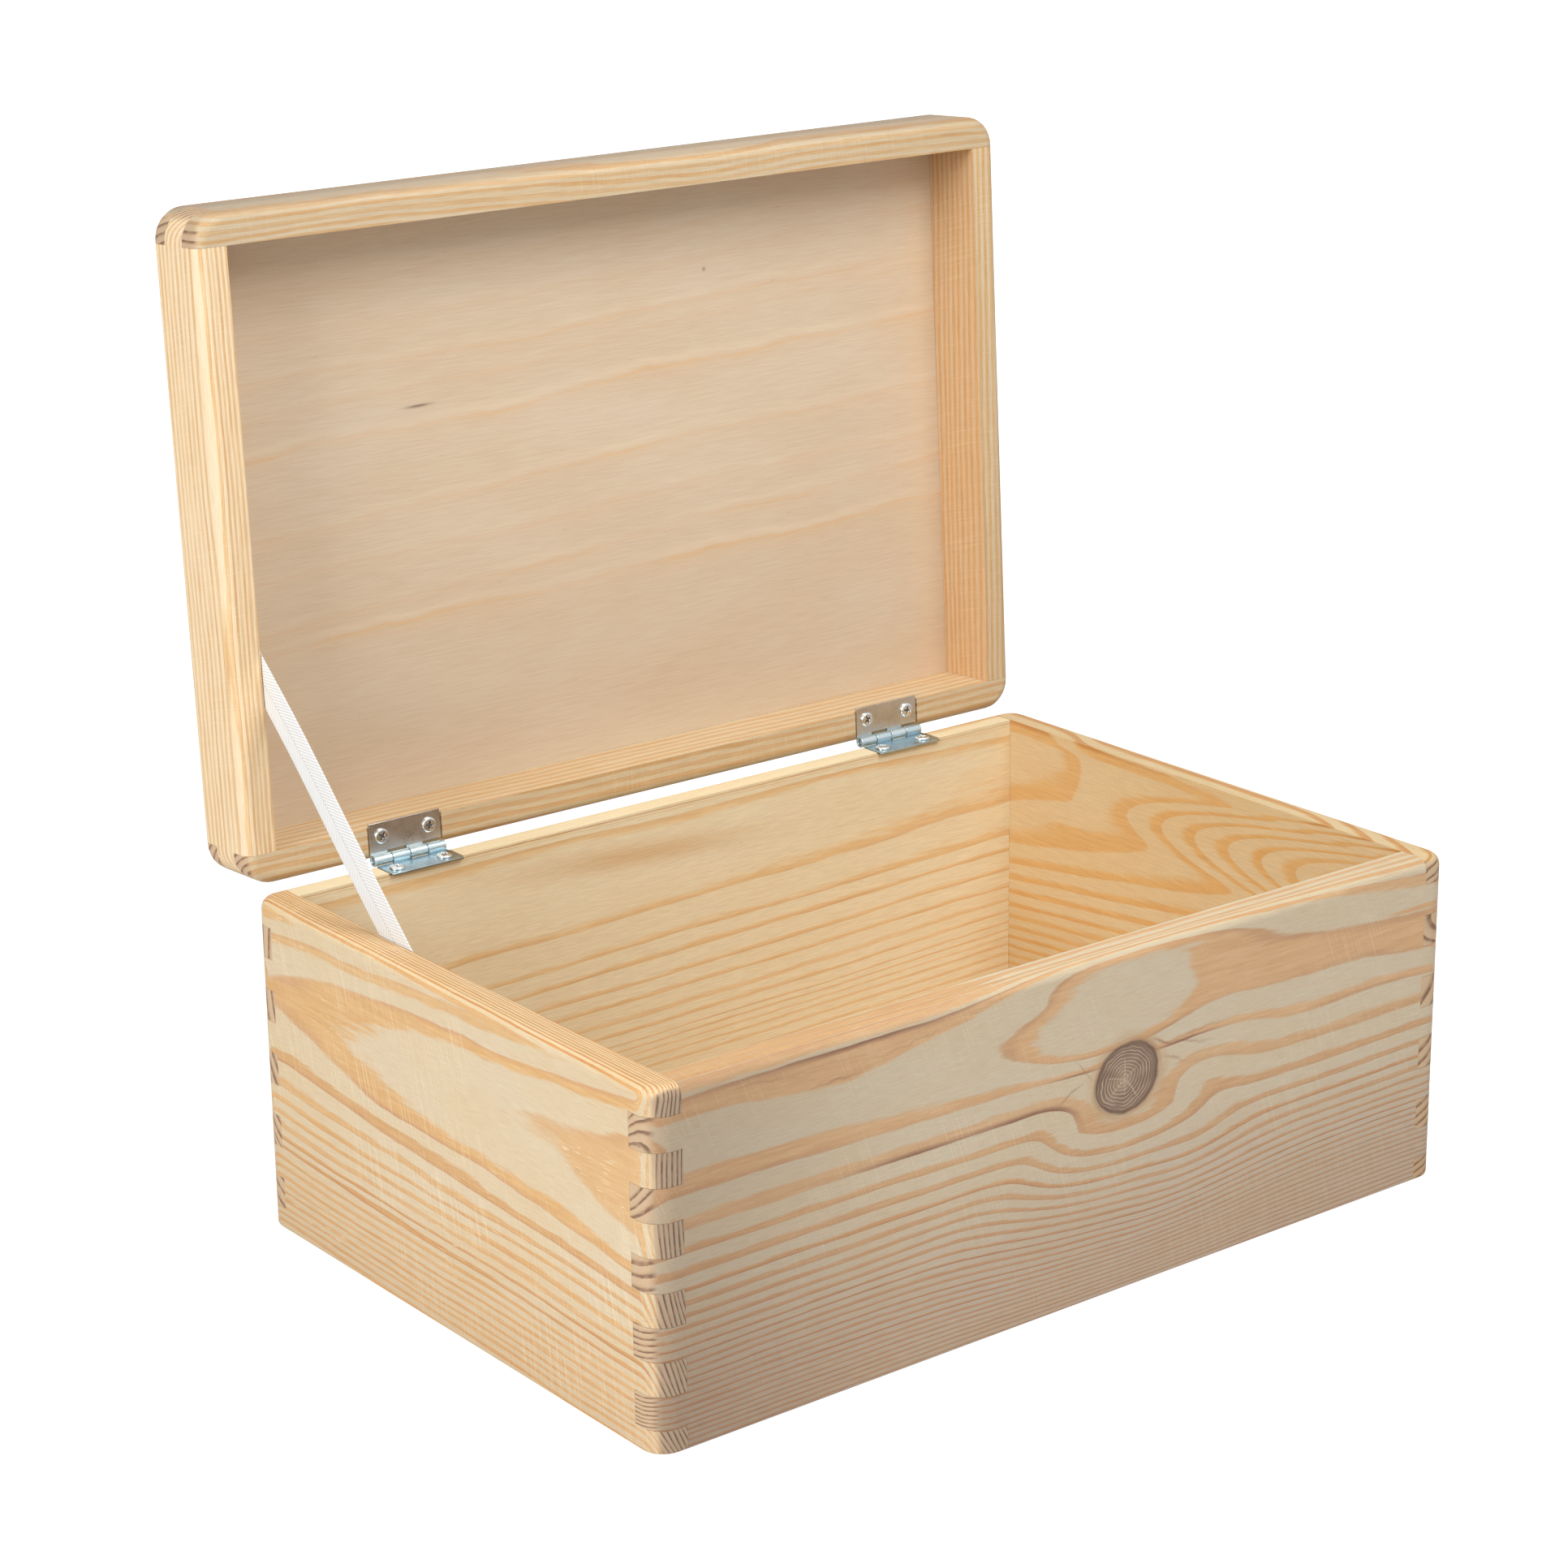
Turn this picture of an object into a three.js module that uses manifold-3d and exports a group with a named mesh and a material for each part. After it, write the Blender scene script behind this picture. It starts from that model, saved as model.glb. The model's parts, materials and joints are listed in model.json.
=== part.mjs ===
// A small wooden toy box with a hinged lid, shown with its lid open against its strap.
//
// Four pine boards, finger-jointed at the corners, stand on the floor around a plywood bottom.
// The lid is a shallow frame of four finger-jointed rails around a plywood panel. Two butt
// hinges, let into the rims, join them at the back, and a woven tape stops the lid past upright.
//
// Millimetres. +X runs along the length, +Y to the back, +Z up. The origin is the middle of
// the box's underside. The lid is built closed, around the hinge axis, and then turned open.

import * as THREE from 'three';
import { mergeVertices } from 'three/addons/utils/BufferGeometryUtils.js';
import Module from 'manifold-3d';

const wasm = await Module();
wasm.setup();

// ---------------------------------------------------------------- driving dimensions

const boxLength = 300;
const boxWidth = 200;
const bodyHeight = 105;
const lidDepth = 26;
const boardThickness = 10;

const bodyCornerRadius = 7; // upright corners of the body
const lidCornerRadius = 9.5; // upright corners of the lid
const edgeRounding = 3.5; // outer edges of both rims and of the lid's top
const footRounding = 0.8; // outer edges of the underside

const fingerPitch = 10;
const bodyFirstFinger = 7; // height of the lowest finger of the body
const lidFirstFinger = 8; // height of the finger next to the lid's closing face
const glueGap = 0.1; // between glued pieces

const panelThickness = 4;
const rebateWidth = 5; // how far each panel is let into its boards
const panelCornerRadius = 6;

const hingeLength = 25.4;
const hingeFromEnd = 55; // from the box's end to the middle of each hinge
const leafReach = 11.3; // from the hinge axis to the leaf's free edge
const leafThickness = 0.7;
const barrelRadius = 1.75;
const pinClearance = 0.1;
const pinInset = 0.5; // the pin ends inside the barrel
const knuckleCount = 4;
const knuckleGap = 0.2;
const knuckleNotch = 0.45; // room around the other leaf's knuckles
const mortiseDepth = 0.8;
const mortiseMargin = 0.6; // past each end of a leaf

const screwHeadRadius = 2.25;
const screwHeadHeight = 0.8;
const screwHeadRim = 0.32; // height of the head's edge, below its dome
const screwShankRadius = 1.1;
const screwLength = 8; // under the head
const screwPointLength = 2.5;
const screwSpacing = 17;
const screwFromAxis = 7;
const screwClearance = 0.15;
const headSeat = 0.05; // under a screw's head

const openAngle = 93.1; // from closed to taut strap, in degrees
const closedRimClearance = 0.3; // left at the front rim when the lid is down

const strapWidth = 12;
const strapThickness = 0.8;
const strapFromWall = 0.3;
const strapEnd = 6; // past each strap screw
const strapOnLid = { fromAxis: 70, depth: 9 }; // strap screw, along and into the lid
const strapOnBody = { fromBack: 82.7, underRim: 19 }; // strap screw on the left board

const cornerSteps = 4; // points per quarter turn, doubled by the curve
const roundingSteps = 6;
const barrelSides = 16;
const screwSides = 12;
const headSteps = 3;
const overcut = 1; // how far a cutter passes the face it cuts

// ---------------------------------------------------------------- derived places

const halfLength = boxLength / 2;
const halfWidth = boxWidth / 2;
const hingeHeight = bodyHeight - mortiseDepth + glueGap + barrelRadius;
const halfClosedGap = hingeHeight - bodyHeight;
const closeTilt = Math.asin((2 * halfClosedGap - closedRimClearance) / boxWidth);
const wallInside = halfLength - boardThickness;
const boreRadius = barrelRadius - leafThickness;
const hinges = { left: -halfLength + hingeFromEnd, right: halfLength - hingeFromEnd };
const screwRow = [-screwSpacing / 2, screwSpacing / 2];
const headLevel = -barrelRadius + leafThickness + headSeat; // under the screw heads, from the axis

// ---------------------------------------------------------------- materials

const woods = {
  board: new THREE.MeshStandardMaterial({ color: 0xe3c08c, roughness: 0.62, metalness: 0 }),
  rail: new THREE.MeshStandardMaterial({ color: 0xe8c795, roughness: 0.62, metalness: 0 }),
  plywood: new THREE.MeshStandardMaterial({ color: 0xdab992, roughness: 0.66, metalness: 0 }),
};
const zinc = new THREE.MeshStandardMaterial({ color: 0xa9adb0, roughness: 0.3, metalness: 1 });
const tape = new THREE.MeshStandardMaterial({ color: 0xeae6df, roughness: 0.92, metalness: 0 });

// ---------------------------------------------------------------- solids

// A closed mesh as a solid that can be joined and cut.
function solid(geometry) {
  const bare = geometry.index ? geometry.toNonIndexed() : geometry.clone();
  bare.deleteAttribute('normal');
  bare.deleteAttribute('uv');
  const merged = mergeVertices(bare, 1e-4);
  const mesh = new wasm.Mesh({
    numProp: 3,
    vertProperties: new Float32Array(merged.attributes.position.array),
    triVerts: new Uint32Array(merged.index.array),
  });
  return new wasm.Manifold(mesh);
}

function geometryOf(shape) {
  const mesh = shape.getMesh();
  const geometry = new THREE.BufferGeometry();
  geometry.setAttribute('position', new THREE.BufferAttribute(new Float32Array(mesh.vertProperties), 3));
  geometry.setIndex(new THREE.BufferAttribute(new Uint32Array(mesh.triVerts), 1));
  geometry.computeVertexNormals();
  return geometry;
}

function named(name, shape, material) {
  const mesh = new THREE.Mesh(geometryOf(shape), material);
  mesh.name = name;
  return mesh;
}

function box(low, high) {
  const geometry = new THREE.BoxGeometry(high[0] - low[0], high[1] - low[1], high[2] - low[2]);
  geometry.translate((low[0] + high[0]) / 2, (low[1] + high[1]) / 2, (low[2] + high[2]) / 2);
  return solid(geometry);
}

function roundedRectangle(length, width, radius) {
  const x = length / 2 - radius;
  const y = width / 2 - radius;
  const outline = new THREE.Shape();
  outline.moveTo(x + radius, -y);
  outline.absarc(x, y, radius, 0, Math.PI / 2, false);
  outline.absarc(-x, y, radius, Math.PI / 2, Math.PI, false);
  outline.absarc(-x, -y, radius, Math.PI, Math.PI * 1.5, false);
  outline.absarc(x, -y, radius, Math.PI * 1.5, Math.PI * 2, false);
  return outline;
}

// A rounded rectangle from z = bottom to z = top, its edges rounded the same way at both ends.
function roundedBlock(length, width, radius, bottom, top, rounding) {
  const geometry = new THREE.ExtrudeGeometry(roundedRectangle(length, width, radius), {
    depth: top - bottom - 2 * rounding,
    curveSegments: cornerSteps,
    bevelEnabled: rounding > 0,
    bevelThickness: rounding,
    bevelSize: rounding,
    bevelOffset: -rounding,
    bevelSegments: roundingSteps,
  });
  geometry.translate(0, 0, bottom + rounding);
  return solid(geometry);
}

// A comb-ended board, standing on edge along X with its middle plane at y = 0. At every other
// finger the board is cut back by the thickness of its neighbour.
function combBoard(length, height, firstFinger, cutsFirst) {
  const full = length / 2;
  const cut = full - boardThickness - glueGap / 2;
  const side = [];
  let low = 0;
  let cutHere = cutsFirst;
  for (let high = firstFinger; low < height; high += fingerPitch) {
    const reach = cutHere ? cut : full;
    const start = low === 0 ? 0 : low + (cutHere ? -glueGap / 2 : glueGap / 2);
    const end = high >= height ? height : high + (cutHere ? glueGap / 2 : -glueGap / 2);
    side.push([reach, start], [reach, end]);
    low = high;
    cutHere = !cutHere;
  }
  const outline = new THREE.Shape();
  side.forEach(([x, z], i) => (i ? outline.lineTo(x, z) : outline.moveTo(x, z)));
  side.reverse().forEach(([x, z]) => outline.lineTo(-x, z));
  const geometry = new THREE.ExtrudeGeometry(outline, { depth: boardThickness, bevelEnabled: false });
  geometry.rotateX(Math.PI / 2);
  geometry.translate(0, boardThickness / 2, 0);
  return geometry;
}

// The four boards of a frame, from z = 0 up, before its edges are rounded.
function frameBoards(height, firstFinger, sidesReachFirst) {
  const long = () => combBoard(boxLength, height, firstFinger, sidesReachFirst);
  const short = () => combBoard(boxWidth, height, firstFinger, !sidesReachFirst);
  const toWall = boardThickness / 2;
  return {
    front: solid(long().translate(0, -halfWidth + toWall, 0)),
    back: solid(long().translate(0, halfWidth - toWall, 0)),
    left: solid(short().rotateZ(Math.PI / 2).translate(-halfLength + toWall, 0, 0)),
    right: solid(short().rotateZ(Math.PI / 2).translate(halfLength - toWall, 0, 0)),
  };
}

// The pocket for a plywood panel, or with a clearance all round the panel itself.
function panelBlock(bottom, top, clearance) {
  const inset = 2 * (boardThickness - rebateWidth + clearance);
  return roundedBlock(boxLength - inset, boxWidth - inset, panelCornerRadius, bottom, top, 0);
}

// A round bar along Z.
function bar(radius, low, high, sides) {
  const geometry = new THREE.CylinderGeometry(radius, radius, high - low, sides);
  geometry.rotateX(Math.PI / 2);
  geometry.translate(0, 0, (low + high) / 2);
  return geometry;
}

// The hole for a screw whose head sits at z = 0 and whose shank points down.
function pilotHole() {
  return bar(screwShankRadius + screwClearance, -screwLength - 2 * screwClearance, overcut, screwSides);
}

// A round-headed wood screw: head above z = 0, shank and point below.
function woodScrew() {
  const dome = screwHeadHeight - screwHeadRim;
  const profile = [
    [0, -screwLength],
    [screwShankRadius, -screwLength + screwPointLength],
    [screwShankRadius, 0],
    [screwHeadRadius, 0],
  ];
  for (let i = 0; i < headSteps; i += 1) {
    const turn = (i / headSteps) * (Math.PI / 2);
    profile.push([screwHeadRadius * Math.cos(turn), screwHeadRim + dome * Math.sin(turn)]);
  }
  profile.push([0, screwHeadHeight]);
  const points = profile.map(([r, z]) => new THREE.Vector2(r, z));
  return new THREE.LatheGeometry(points, screwSides).rotateX(Math.PI / 2);
}

// ---------------------------------------------------------------- hinges

// Where one leaf's knuckles lie along the hinge. The lid's leaf has the first one.
function knuckles(first) {
  const pitch = hingeLength / knuckleCount;
  const spans = [];
  for (let i = first; i < knuckleCount; i += 2) {
    const low = -hingeLength / 2 + i * pitch;
    const high = low + pitch;
    spans.push([i > 0 ? low + knuckleGap / 2 : low, i < knuckleCount - 1 ? high - knuckleGap / 2 : high]);
  }
  return spans;
}

// A hinge leaf that lies flat under its barrel: the axis is X through the origin, the leaf runs
// to -Y, and its outer face is level with the bottom of the barrel.
function hingeLeaf(firstKnuckle) {
  const half = hingeLength / 2;
  const notch = barrelRadius + knuckleNotch;
  const floor = -barrelRadius;
  let leaf = box([-half, -leafReach, floor], [half, -notch, floor + leafThickness]);
  for (const [low, high] of knuckles(firstKnuckle)) {
    leaf = leaf.add(box([low, -notch - overcut, floor], [high, 0, floor + leafThickness]));
    leaf = leaf.add(solid(bar(barrelRadius, low, high, barrelSides).rotateY(Math.PI / 2)));
  }
  const bore = bar(boreRadius, -half - overcut, half + overcut, barrelSides).rotateY(Math.PI / 2);
  leaf = leaf.subtract(solid(bore));
  for (const x of screwRow) {
    const hole = bar(screwShankRadius + screwClearance, floor - overcut, 0, screwSides);
    leaf = leaf.subtract(solid(hole.translate(x, -screwFromAxis, 0)));
  }
  return leaf;
}

function hingePin() {
  const half = hingeLength / 2 - pinInset;
  return solid(bar(boreRadius - pinClearance, -half, half, barrelSides).rotateY(Math.PI / 2));
}

// The mortise for a leaf: a rim at z = 0 is cut from its back face right through to its inside.
function mortise() {
  const half = hingeLength / 2 + mortiseMargin;
  return box([-half, -boardThickness - overcut, -mortiseDepth], [half, overcut, overcut]);
}

// Mortises and pilot holes for both hinges, with the rim at z = 0 and the back face at y = 0.
function hingeSeats() {
  let seats = null;
  for (const middle of Object.values(hinges)) {
    let seat = mortise();
    for (const x of screwRow) {
      seat = seat.add(solid(pilotHole().translate(x, -screwFromAxis, halfClosedGap + headLevel)));
    }
    seat = seat.translate([middle, 0, 0]);
    seats = seats ? seats.add(seat) : seat;
  }
  return seats;
}

// The same leaf, screws or seats, turned over for the lid: up becomes down.
const turnedOver = new THREE.Matrix4().makeScale(1, 1, -1);

function turnOver(shape) {
  return shape.transform(turnedOver.toArray());
}

// ---------------------------------------------------------------- the strap's route

const openTurn = THREE.MathUtils.degToRad(openAngle);

// From the lid's own place, closed and around the hinge axis, to its place when it is open.
function opened(y, z) {
  return new THREE.Vector2(
    halfWidth + y * Math.cos(openTurn) + z * Math.sin(openTurn),
    hingeHeight - y * Math.sin(openTurn) + z * Math.cos(openTurn),
  );
}

const strapLidPoint = { y: -strapOnLid.fromAxis, z: halfClosedGap + strapOnLid.depth };
const strapTop = opened(strapLidPoint.y, strapLidPoint.z);
const strapBottom = new THREE.Vector2(halfWidth - strapOnBody.fromBack, bodyHeight - strapOnBody.underRim);

// The strap lies flat against the inside of the left walls, straight from screw to screw.
function strapSolid() {
  const along = strapTop.clone().sub(strapBottom);
  const length = along.length() + 2 * strapEnd;
  let strap = box([-strapEnd, -strapWidth / 2, 0], [length - strapEnd, strapWidth / 2, strapThickness]);
  for (const place of [0, along.length()]) {
    const hole = bar(screwShankRadius + screwClearance, -overcut, strapThickness + overcut, screwSides);
    strap = strap.subtract(solid(hole.translate(place, 0, 0)));
  }
  const placed = new THREE.Matrix4().makeBasis(
    new THREE.Vector3(0, along.x, along.y).normalize(),
    new THREE.Vector3(0, -along.y, along.x).normalize(),
    new THREE.Vector3(1, 0, 0),
  );
  placed.setPosition(-wallInside + strapFromWall, strapBottom.x, strapBottom.y);
  return strap.transform(placed.toArray());
}

// A strap screw goes through the strap into the wall, along -X.
const strapHeadLevel = -wallInside + strapFromWall + strapThickness + headSeat;

function strapScrew(y, z) {
  return solid(woodScrew().rotateY(Math.PI / 2).translate(strapHeadLevel, y, z));
}

function strapPilot(y, z) {
  return solid(pilotHole().rotateY(Math.PI / 2).translate(strapHeadLevel, y, z));
}

// ---------------------------------------------------------------- body

function makeBody() {
  const body = new THREE.Group();
  const boards = frameBoards(bodyHeight, bodyFirstFinger, true);
  const rimBlock = roundedBlock(boxLength, boxWidth, bodyCornerRadius, -bodyHeight, bodyHeight, edgeRounding);
  const footBlock = roundedBlock(boxLength, boxWidth, bodyCornerRadius, 0, 2 * bodyHeight, footRounding);
  const envelope = rimBlock.intersect(footBlock);
  const pocket = panelBlock(-overcut, panelThickness + glueGap, 0);
  const seats = hingeSeats().translate([0, halfWidth, bodyHeight]);
  boards.back = boards.back.subtract(seats);
  boards.left = boards.left.subtract(strapPilot(strapBottom.x, strapBottom.y));
  for (const [place, board] of Object.entries(boards)) {
    body.add(named(`${place}_board`, board.intersect(envelope).subtract(pocket), woods.board));
  }
  body.add(named('bottom_panel', panelBlock(0, panelThickness, glueGap), woods.plywood));

  for (const [side, middle] of Object.entries(hinges)) {
    const axis = [middle, halfWidth, hingeHeight];
    body.add(named(`${side}_hinge_box_leaf`, hingeLeaf(1).translate(axis), zinc));
    body.add(named(`${side}_hinge_pin`, hingePin().translate(axis), zinc));
    screwRow.forEach((x, i) => {
      const screw = solid(woodScrew().translate(x, -screwFromAxis, headLevel));
      body.add(named(`${side}_hinge_box_screw_${i + 1}`, screw.translate(axis), zinc));
    });
  }
  body.add(named('strap', strapSolid(), tape));
  body.add(named('strap_box_screw', strapScrew(strapBottom.x, strapBottom.y), zinc));
  return body;
}

// ---------------------------------------------------------------- lid

// Built closed, with the hinge axis along X through its own origin.
function makeLid() {
  const lid = new THREE.Group();
  const boards = frameBoards(lidDepth, lidFirstFinger, false);
  const envelope = roundedBlock(boxLength, boxWidth, lidCornerRadius, 0, lidDepth, edgeRounding);
  const pocket = panelBlock(lidDepth - panelThickness - glueGap, lidDepth + overcut, 0);
  const toAxis = [0, -halfWidth, halfClosedGap];
  const seats = turnOver(hingeSeats()).translate([0, halfWidth, 0]);
  boards.back = boards.back.subtract(seats);
  const strapHole = strapPilot(strapLidPoint.y + halfWidth, strapOnLid.depth);
  boards.left = boards.left.subtract(strapHole);
  for (const [place, board] of Object.entries(boards)) {
    const rail = board.intersect(envelope).subtract(pocket).translate(toAxis);
    lid.add(named(`lid_${place}_rail`, rail, woods.rail));
  }
  const panel = panelBlock(lidDepth - panelThickness, lidDepth, glueGap).translate(toAxis);
  lid.add(named('lid_panel', panel, woods.plywood));

  for (const [side, middle] of Object.entries(hinges)) {
    const place = [middle, 0, 0];
    lid.add(named(`${side}_hinge_lid_leaf`, turnOver(hingeLeaf(0)).translate(place), zinc));
    screwRow.forEach((x, i) => {
      const screw = turnOver(solid(woodScrew().translate(x, -screwFromAxis, headLevel)));
      lid.add(named(`${side}_hinge_lid_screw_${i + 1}`, screw.translate(place), zinc));
    });
  }
  lid.add(named('strap_lid_screw', strapScrew(strapLidPoint.y, strapLidPoint.z), zinc));
  lid.position.set(0, halfWidth, hingeHeight);
  lid.rotation.x = -openTurn;
  return lid;
}

const toyBox = new THREE.Group();
toyBox.add(makeBody());
toyBox.add(makeLid());
// The lid's joint turns from 0, where the strap is taut, to where its front rail meets the rim.
toyBox.userData.closingTurn = openAngle + THREE.MathUtils.radToDeg(closeTilt);

export default toyBox;
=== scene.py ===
"""A small finger-jointed pine box with a hinged lid, standing open against its strap."""

import json
import math
from functools import partialmethod

import bpy
import numpy as np
from mathutils import Matrix, Vector


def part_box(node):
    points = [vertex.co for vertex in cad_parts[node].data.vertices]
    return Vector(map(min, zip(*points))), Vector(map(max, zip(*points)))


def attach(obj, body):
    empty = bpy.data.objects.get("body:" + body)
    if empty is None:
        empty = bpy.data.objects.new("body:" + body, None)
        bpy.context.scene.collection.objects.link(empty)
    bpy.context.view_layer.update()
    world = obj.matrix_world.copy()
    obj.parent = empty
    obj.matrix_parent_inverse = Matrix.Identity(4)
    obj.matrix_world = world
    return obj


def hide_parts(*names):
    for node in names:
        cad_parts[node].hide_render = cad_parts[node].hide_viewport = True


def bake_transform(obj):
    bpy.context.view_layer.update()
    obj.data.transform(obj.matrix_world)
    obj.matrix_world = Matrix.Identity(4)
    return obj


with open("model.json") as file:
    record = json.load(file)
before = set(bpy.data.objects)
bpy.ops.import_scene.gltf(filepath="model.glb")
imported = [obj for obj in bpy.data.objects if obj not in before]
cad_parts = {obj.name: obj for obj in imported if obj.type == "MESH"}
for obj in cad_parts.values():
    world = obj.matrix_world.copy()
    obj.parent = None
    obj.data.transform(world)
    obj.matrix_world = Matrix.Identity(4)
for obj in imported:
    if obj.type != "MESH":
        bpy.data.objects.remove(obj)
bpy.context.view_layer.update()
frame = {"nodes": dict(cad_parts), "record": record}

MM = 0.001  # every size below is in millimetres; Blender's lengths are in metres

# ---- camera

VIEW_TURN = -37.867  # degrees round the box from straight in front
VIEW_RISE = 17.771
VIEW_ROLL = -0.626
VIEW_AWAY = 1175.696
VIEW_ACROSS = -23.041
VIEW_UP = 126.799
LENS = 87.59


def make_camera():
    """A camera turned and raised about the box's foot, then moved across and up in its own plane."""
    turn, rise, roll = (math.radians(a) for a in (VIEW_TURN, VIEW_RISE, VIEW_ROLL))
    back = Vector((math.sin(turn) * math.cos(rise), -math.cos(turn) * math.cos(rise), math.sin(rise)))
    level = Vector((0, 0, 1)).cross(back).normalized()
    upright = back.cross(level)
    right = math.cos(roll) * level + math.sin(roll) * upright
    up = math.cos(roll) * upright - math.sin(roll) * level
    place = (back * VIEW_AWAY + right * VIEW_ACROSS + up * VIEW_UP) * MM
    camera = bpy.data.objects.new("camera", bpy.data.cameras.new("camera"))
    camera.data.lens = LENS
    camera.data.sensor_width = 36
    camera.data.clip_start = 0.01
    camera.matrix_world = Matrix.Translation(place) @ Matrix((right, up, back)).transposed().to_4x4()
    bpy.context.scene.collection.objects.link(camera)
    bpy.context.scene.camera = camera


make_camera()

# ---- writing node trees as formulas


class Wire:
    """One value in a node tree, so that patterns can be written as ordinary formulas."""

    def __init__(self, net, socket):
        self.net, self.socket = net, socket

    def apply(self, operation, *others):
        return self.net.wire("ShaderNodeMath", self, *others, operation=operation)

    __add__ = __radd__ = partialmethod(apply, "ADD")
    __sub__ = partialmethod(apply, "SUBTRACT")
    __mul__ = __rmul__ = partialmethod(apply, "MULTIPLY")
    __truediv__ = partialmethod(apply, "DIVIDE")
    least = partialmethod(apply, "MINIMUM")
    most = partialmethod(apply, "MAXIMUM")
    sqrt = partialmethod(apply, "SQRT")
    exp = partialmethod(apply, "EXPONENT")
    tanh = partialmethod(apply, "TANH")
    sin = partialmethod(apply, "SINE")
    fraction = partialmethod(apply, "FRACT")
    absolute = partialmethod(apply, "ABSOLUTE")

    def __neg__(self):
        return self * -1.0

    def __rsub__(self, other):
        return -self + other

    def squared(self):
        return self * self

    def bell(self, middle, width):
        """1 at the middle, falling off to both sides as exp(-(distance / width) squared)."""
        return (-((self - middle) / width).squared()).exp()

    def step(self, middle, softness):
        """0 below the middle and 1 above it, as half of (1 + tanh(distance / softness))."""
        return ((self - middle) / softness).tanh() * 0.5 + 0.5

    def ramp(self, low, high, to_low=0.0, to_high=1.0):
        """A smooth step from to_low at low to to_high at high."""
        return self.net.wire("ShaderNodeMapRange", self, low, high, to_low, to_high,
                             interpolation_type="SMOOTHSTEP")

    def wave(self, pitch):
        """A sine that comes round once in every pitch."""
        return (self * (2 * math.pi / pitch)).sin()

    def fall(self, low, high):
        """A smooth step down, from 1 at low to 0 at high."""
        return self.ramp(low, high, 1.0, 0.0)


class Net:
    """A node tree under construction: a material's own, or a shader group's."""

    def __init__(self, tree):
        self.tree = tree
        self.column = 0

    def new(self, kind, *values, **settings):
        """A node with these settings, and with its first inputs wired or filled."""
        node = self.tree.nodes.new(kind)
        self.column += 1
        node.location = (180 * (self.column % 24), -220 * (self.column // 24))
        for name, value in settings.items():
            setattr(node, name, value)
        for slot, value in zip(node.inputs, values):
            self.put(slot, value)
        return node

    def wire(self, kind, *values, output=0, **settings):
        """One output of a new node."""
        return Wire(self, self.new(kind, *values, **settings).outputs[output])

    def put(self, slot, value):
        """Wires or fills an input. A vector may be three values with wires among them."""
        if isinstance(value, Wire):
            self.tree.links.new(value.socket, slot)
        elif slot.type == "VECTOR" and any(isinstance(part, Wire) for part in value):
            self.put(slot, self.wire("ShaderNodeCombineXYZ", *value))
        elif slot.type == "RGBA" and len(value) == 3:
            slot.default_value = (*value, 1.0)
        else:
            slot.default_value = value

    def split(self, vector):
        return [Wire(self, out) for out in self.new("ShaderNodeSeparateXYZ", vector).outputs]

    def mix(self, share, low, high, blend="MIX"):
        """Colour low where share is 0 and high where it is 1."""
        node = self.new("ShaderNodeMix", data_type="RGBA", blend_type=blend, clamp_factor=True)
        for slot, value in (("Factor", share), (6, low), (7, high)):
            self.put(node.inputs[slot], value)
        return Wire(self, node.outputs[2])

    def over(self, colour, *layers, blend="MIX"):
        """A colour with others laid over it in turn, each (share, colour)."""
        for share, layer in layers:
            colour = self.mix(share, colour, layer, blend)
        return colour

    def noise(self, place, sizes=None, detail=2.0, roughness=0.5, scale=1.0, seed=None):
        """Cloudy noise from -1 to 1 or so, evenly spread about 0, with clouds of these sizes."""
        if sizes:
            place = self.wire("ShaderNodeVectorMath", place, sizes, operation="DIVIDE")
        node = self.new("ShaderNodeTexNoise", noise_dimensions="3D" if seed is None else "4D")
        node.normalize = False
        if seed is not None:
            self.put(node.inputs["W"], seed)
        for name, value in (("Vector", place), ("Scale", scale), ("Detail", detail),
                            ("Roughness", roughness)):
            self.put(node.inputs[name], value)
        return Wire(self, node.outputs["Fac"])

    def group(self, tree, **values):
        node = self.new("ShaderNodeGroup", node_tree=tree)
        for name, value in values.items():
            self.put(node.inputs[name.replace("_", " ")], value)
        return {out.name: Wire(self, out) for out in node.outputs}


PLACE = "a place on the piece"  # marks a group's vector input


def shader_group(name, **inputs):
    """Makes a formula into a shader group. Each input is PLACE, or a number or colour to start from."""
    def make(formula):
        tree = bpy.data.node_groups.new(name, "ShaderNodeTree")

        def socket(title, way, kind):
            return tree.interface.new_socket(title, in_out=way, socket_type="NodeSocket" + kind)

        for title, start in inputs.items():
            kind = "Vector" if start is PLACE else "Color" if isinstance(start, tuple) else "Float"
            made = socket(title.replace("_", " "), "INPUT", kind)
            if start is not PLACE:
                made.default_value = (*start, 1.0) if kind == "Color" else start
        net = Net(tree)
        source = net.new("NodeGroupInput")
        results = formula(net, {out.name: Wire(net, out) for out in source.outputs if out.name})
        for title, wire in results.items():
            socket(title, "OUTPUT", "Color" if wire.socket.type == "RGBA" else "Float")
        end = net.new("NodeGroupOutput")
        for title, wire in results.items():
            net.put(end.inputs[title], wire)
        return tree
    return make


# ---- shared effects, each a group


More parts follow.
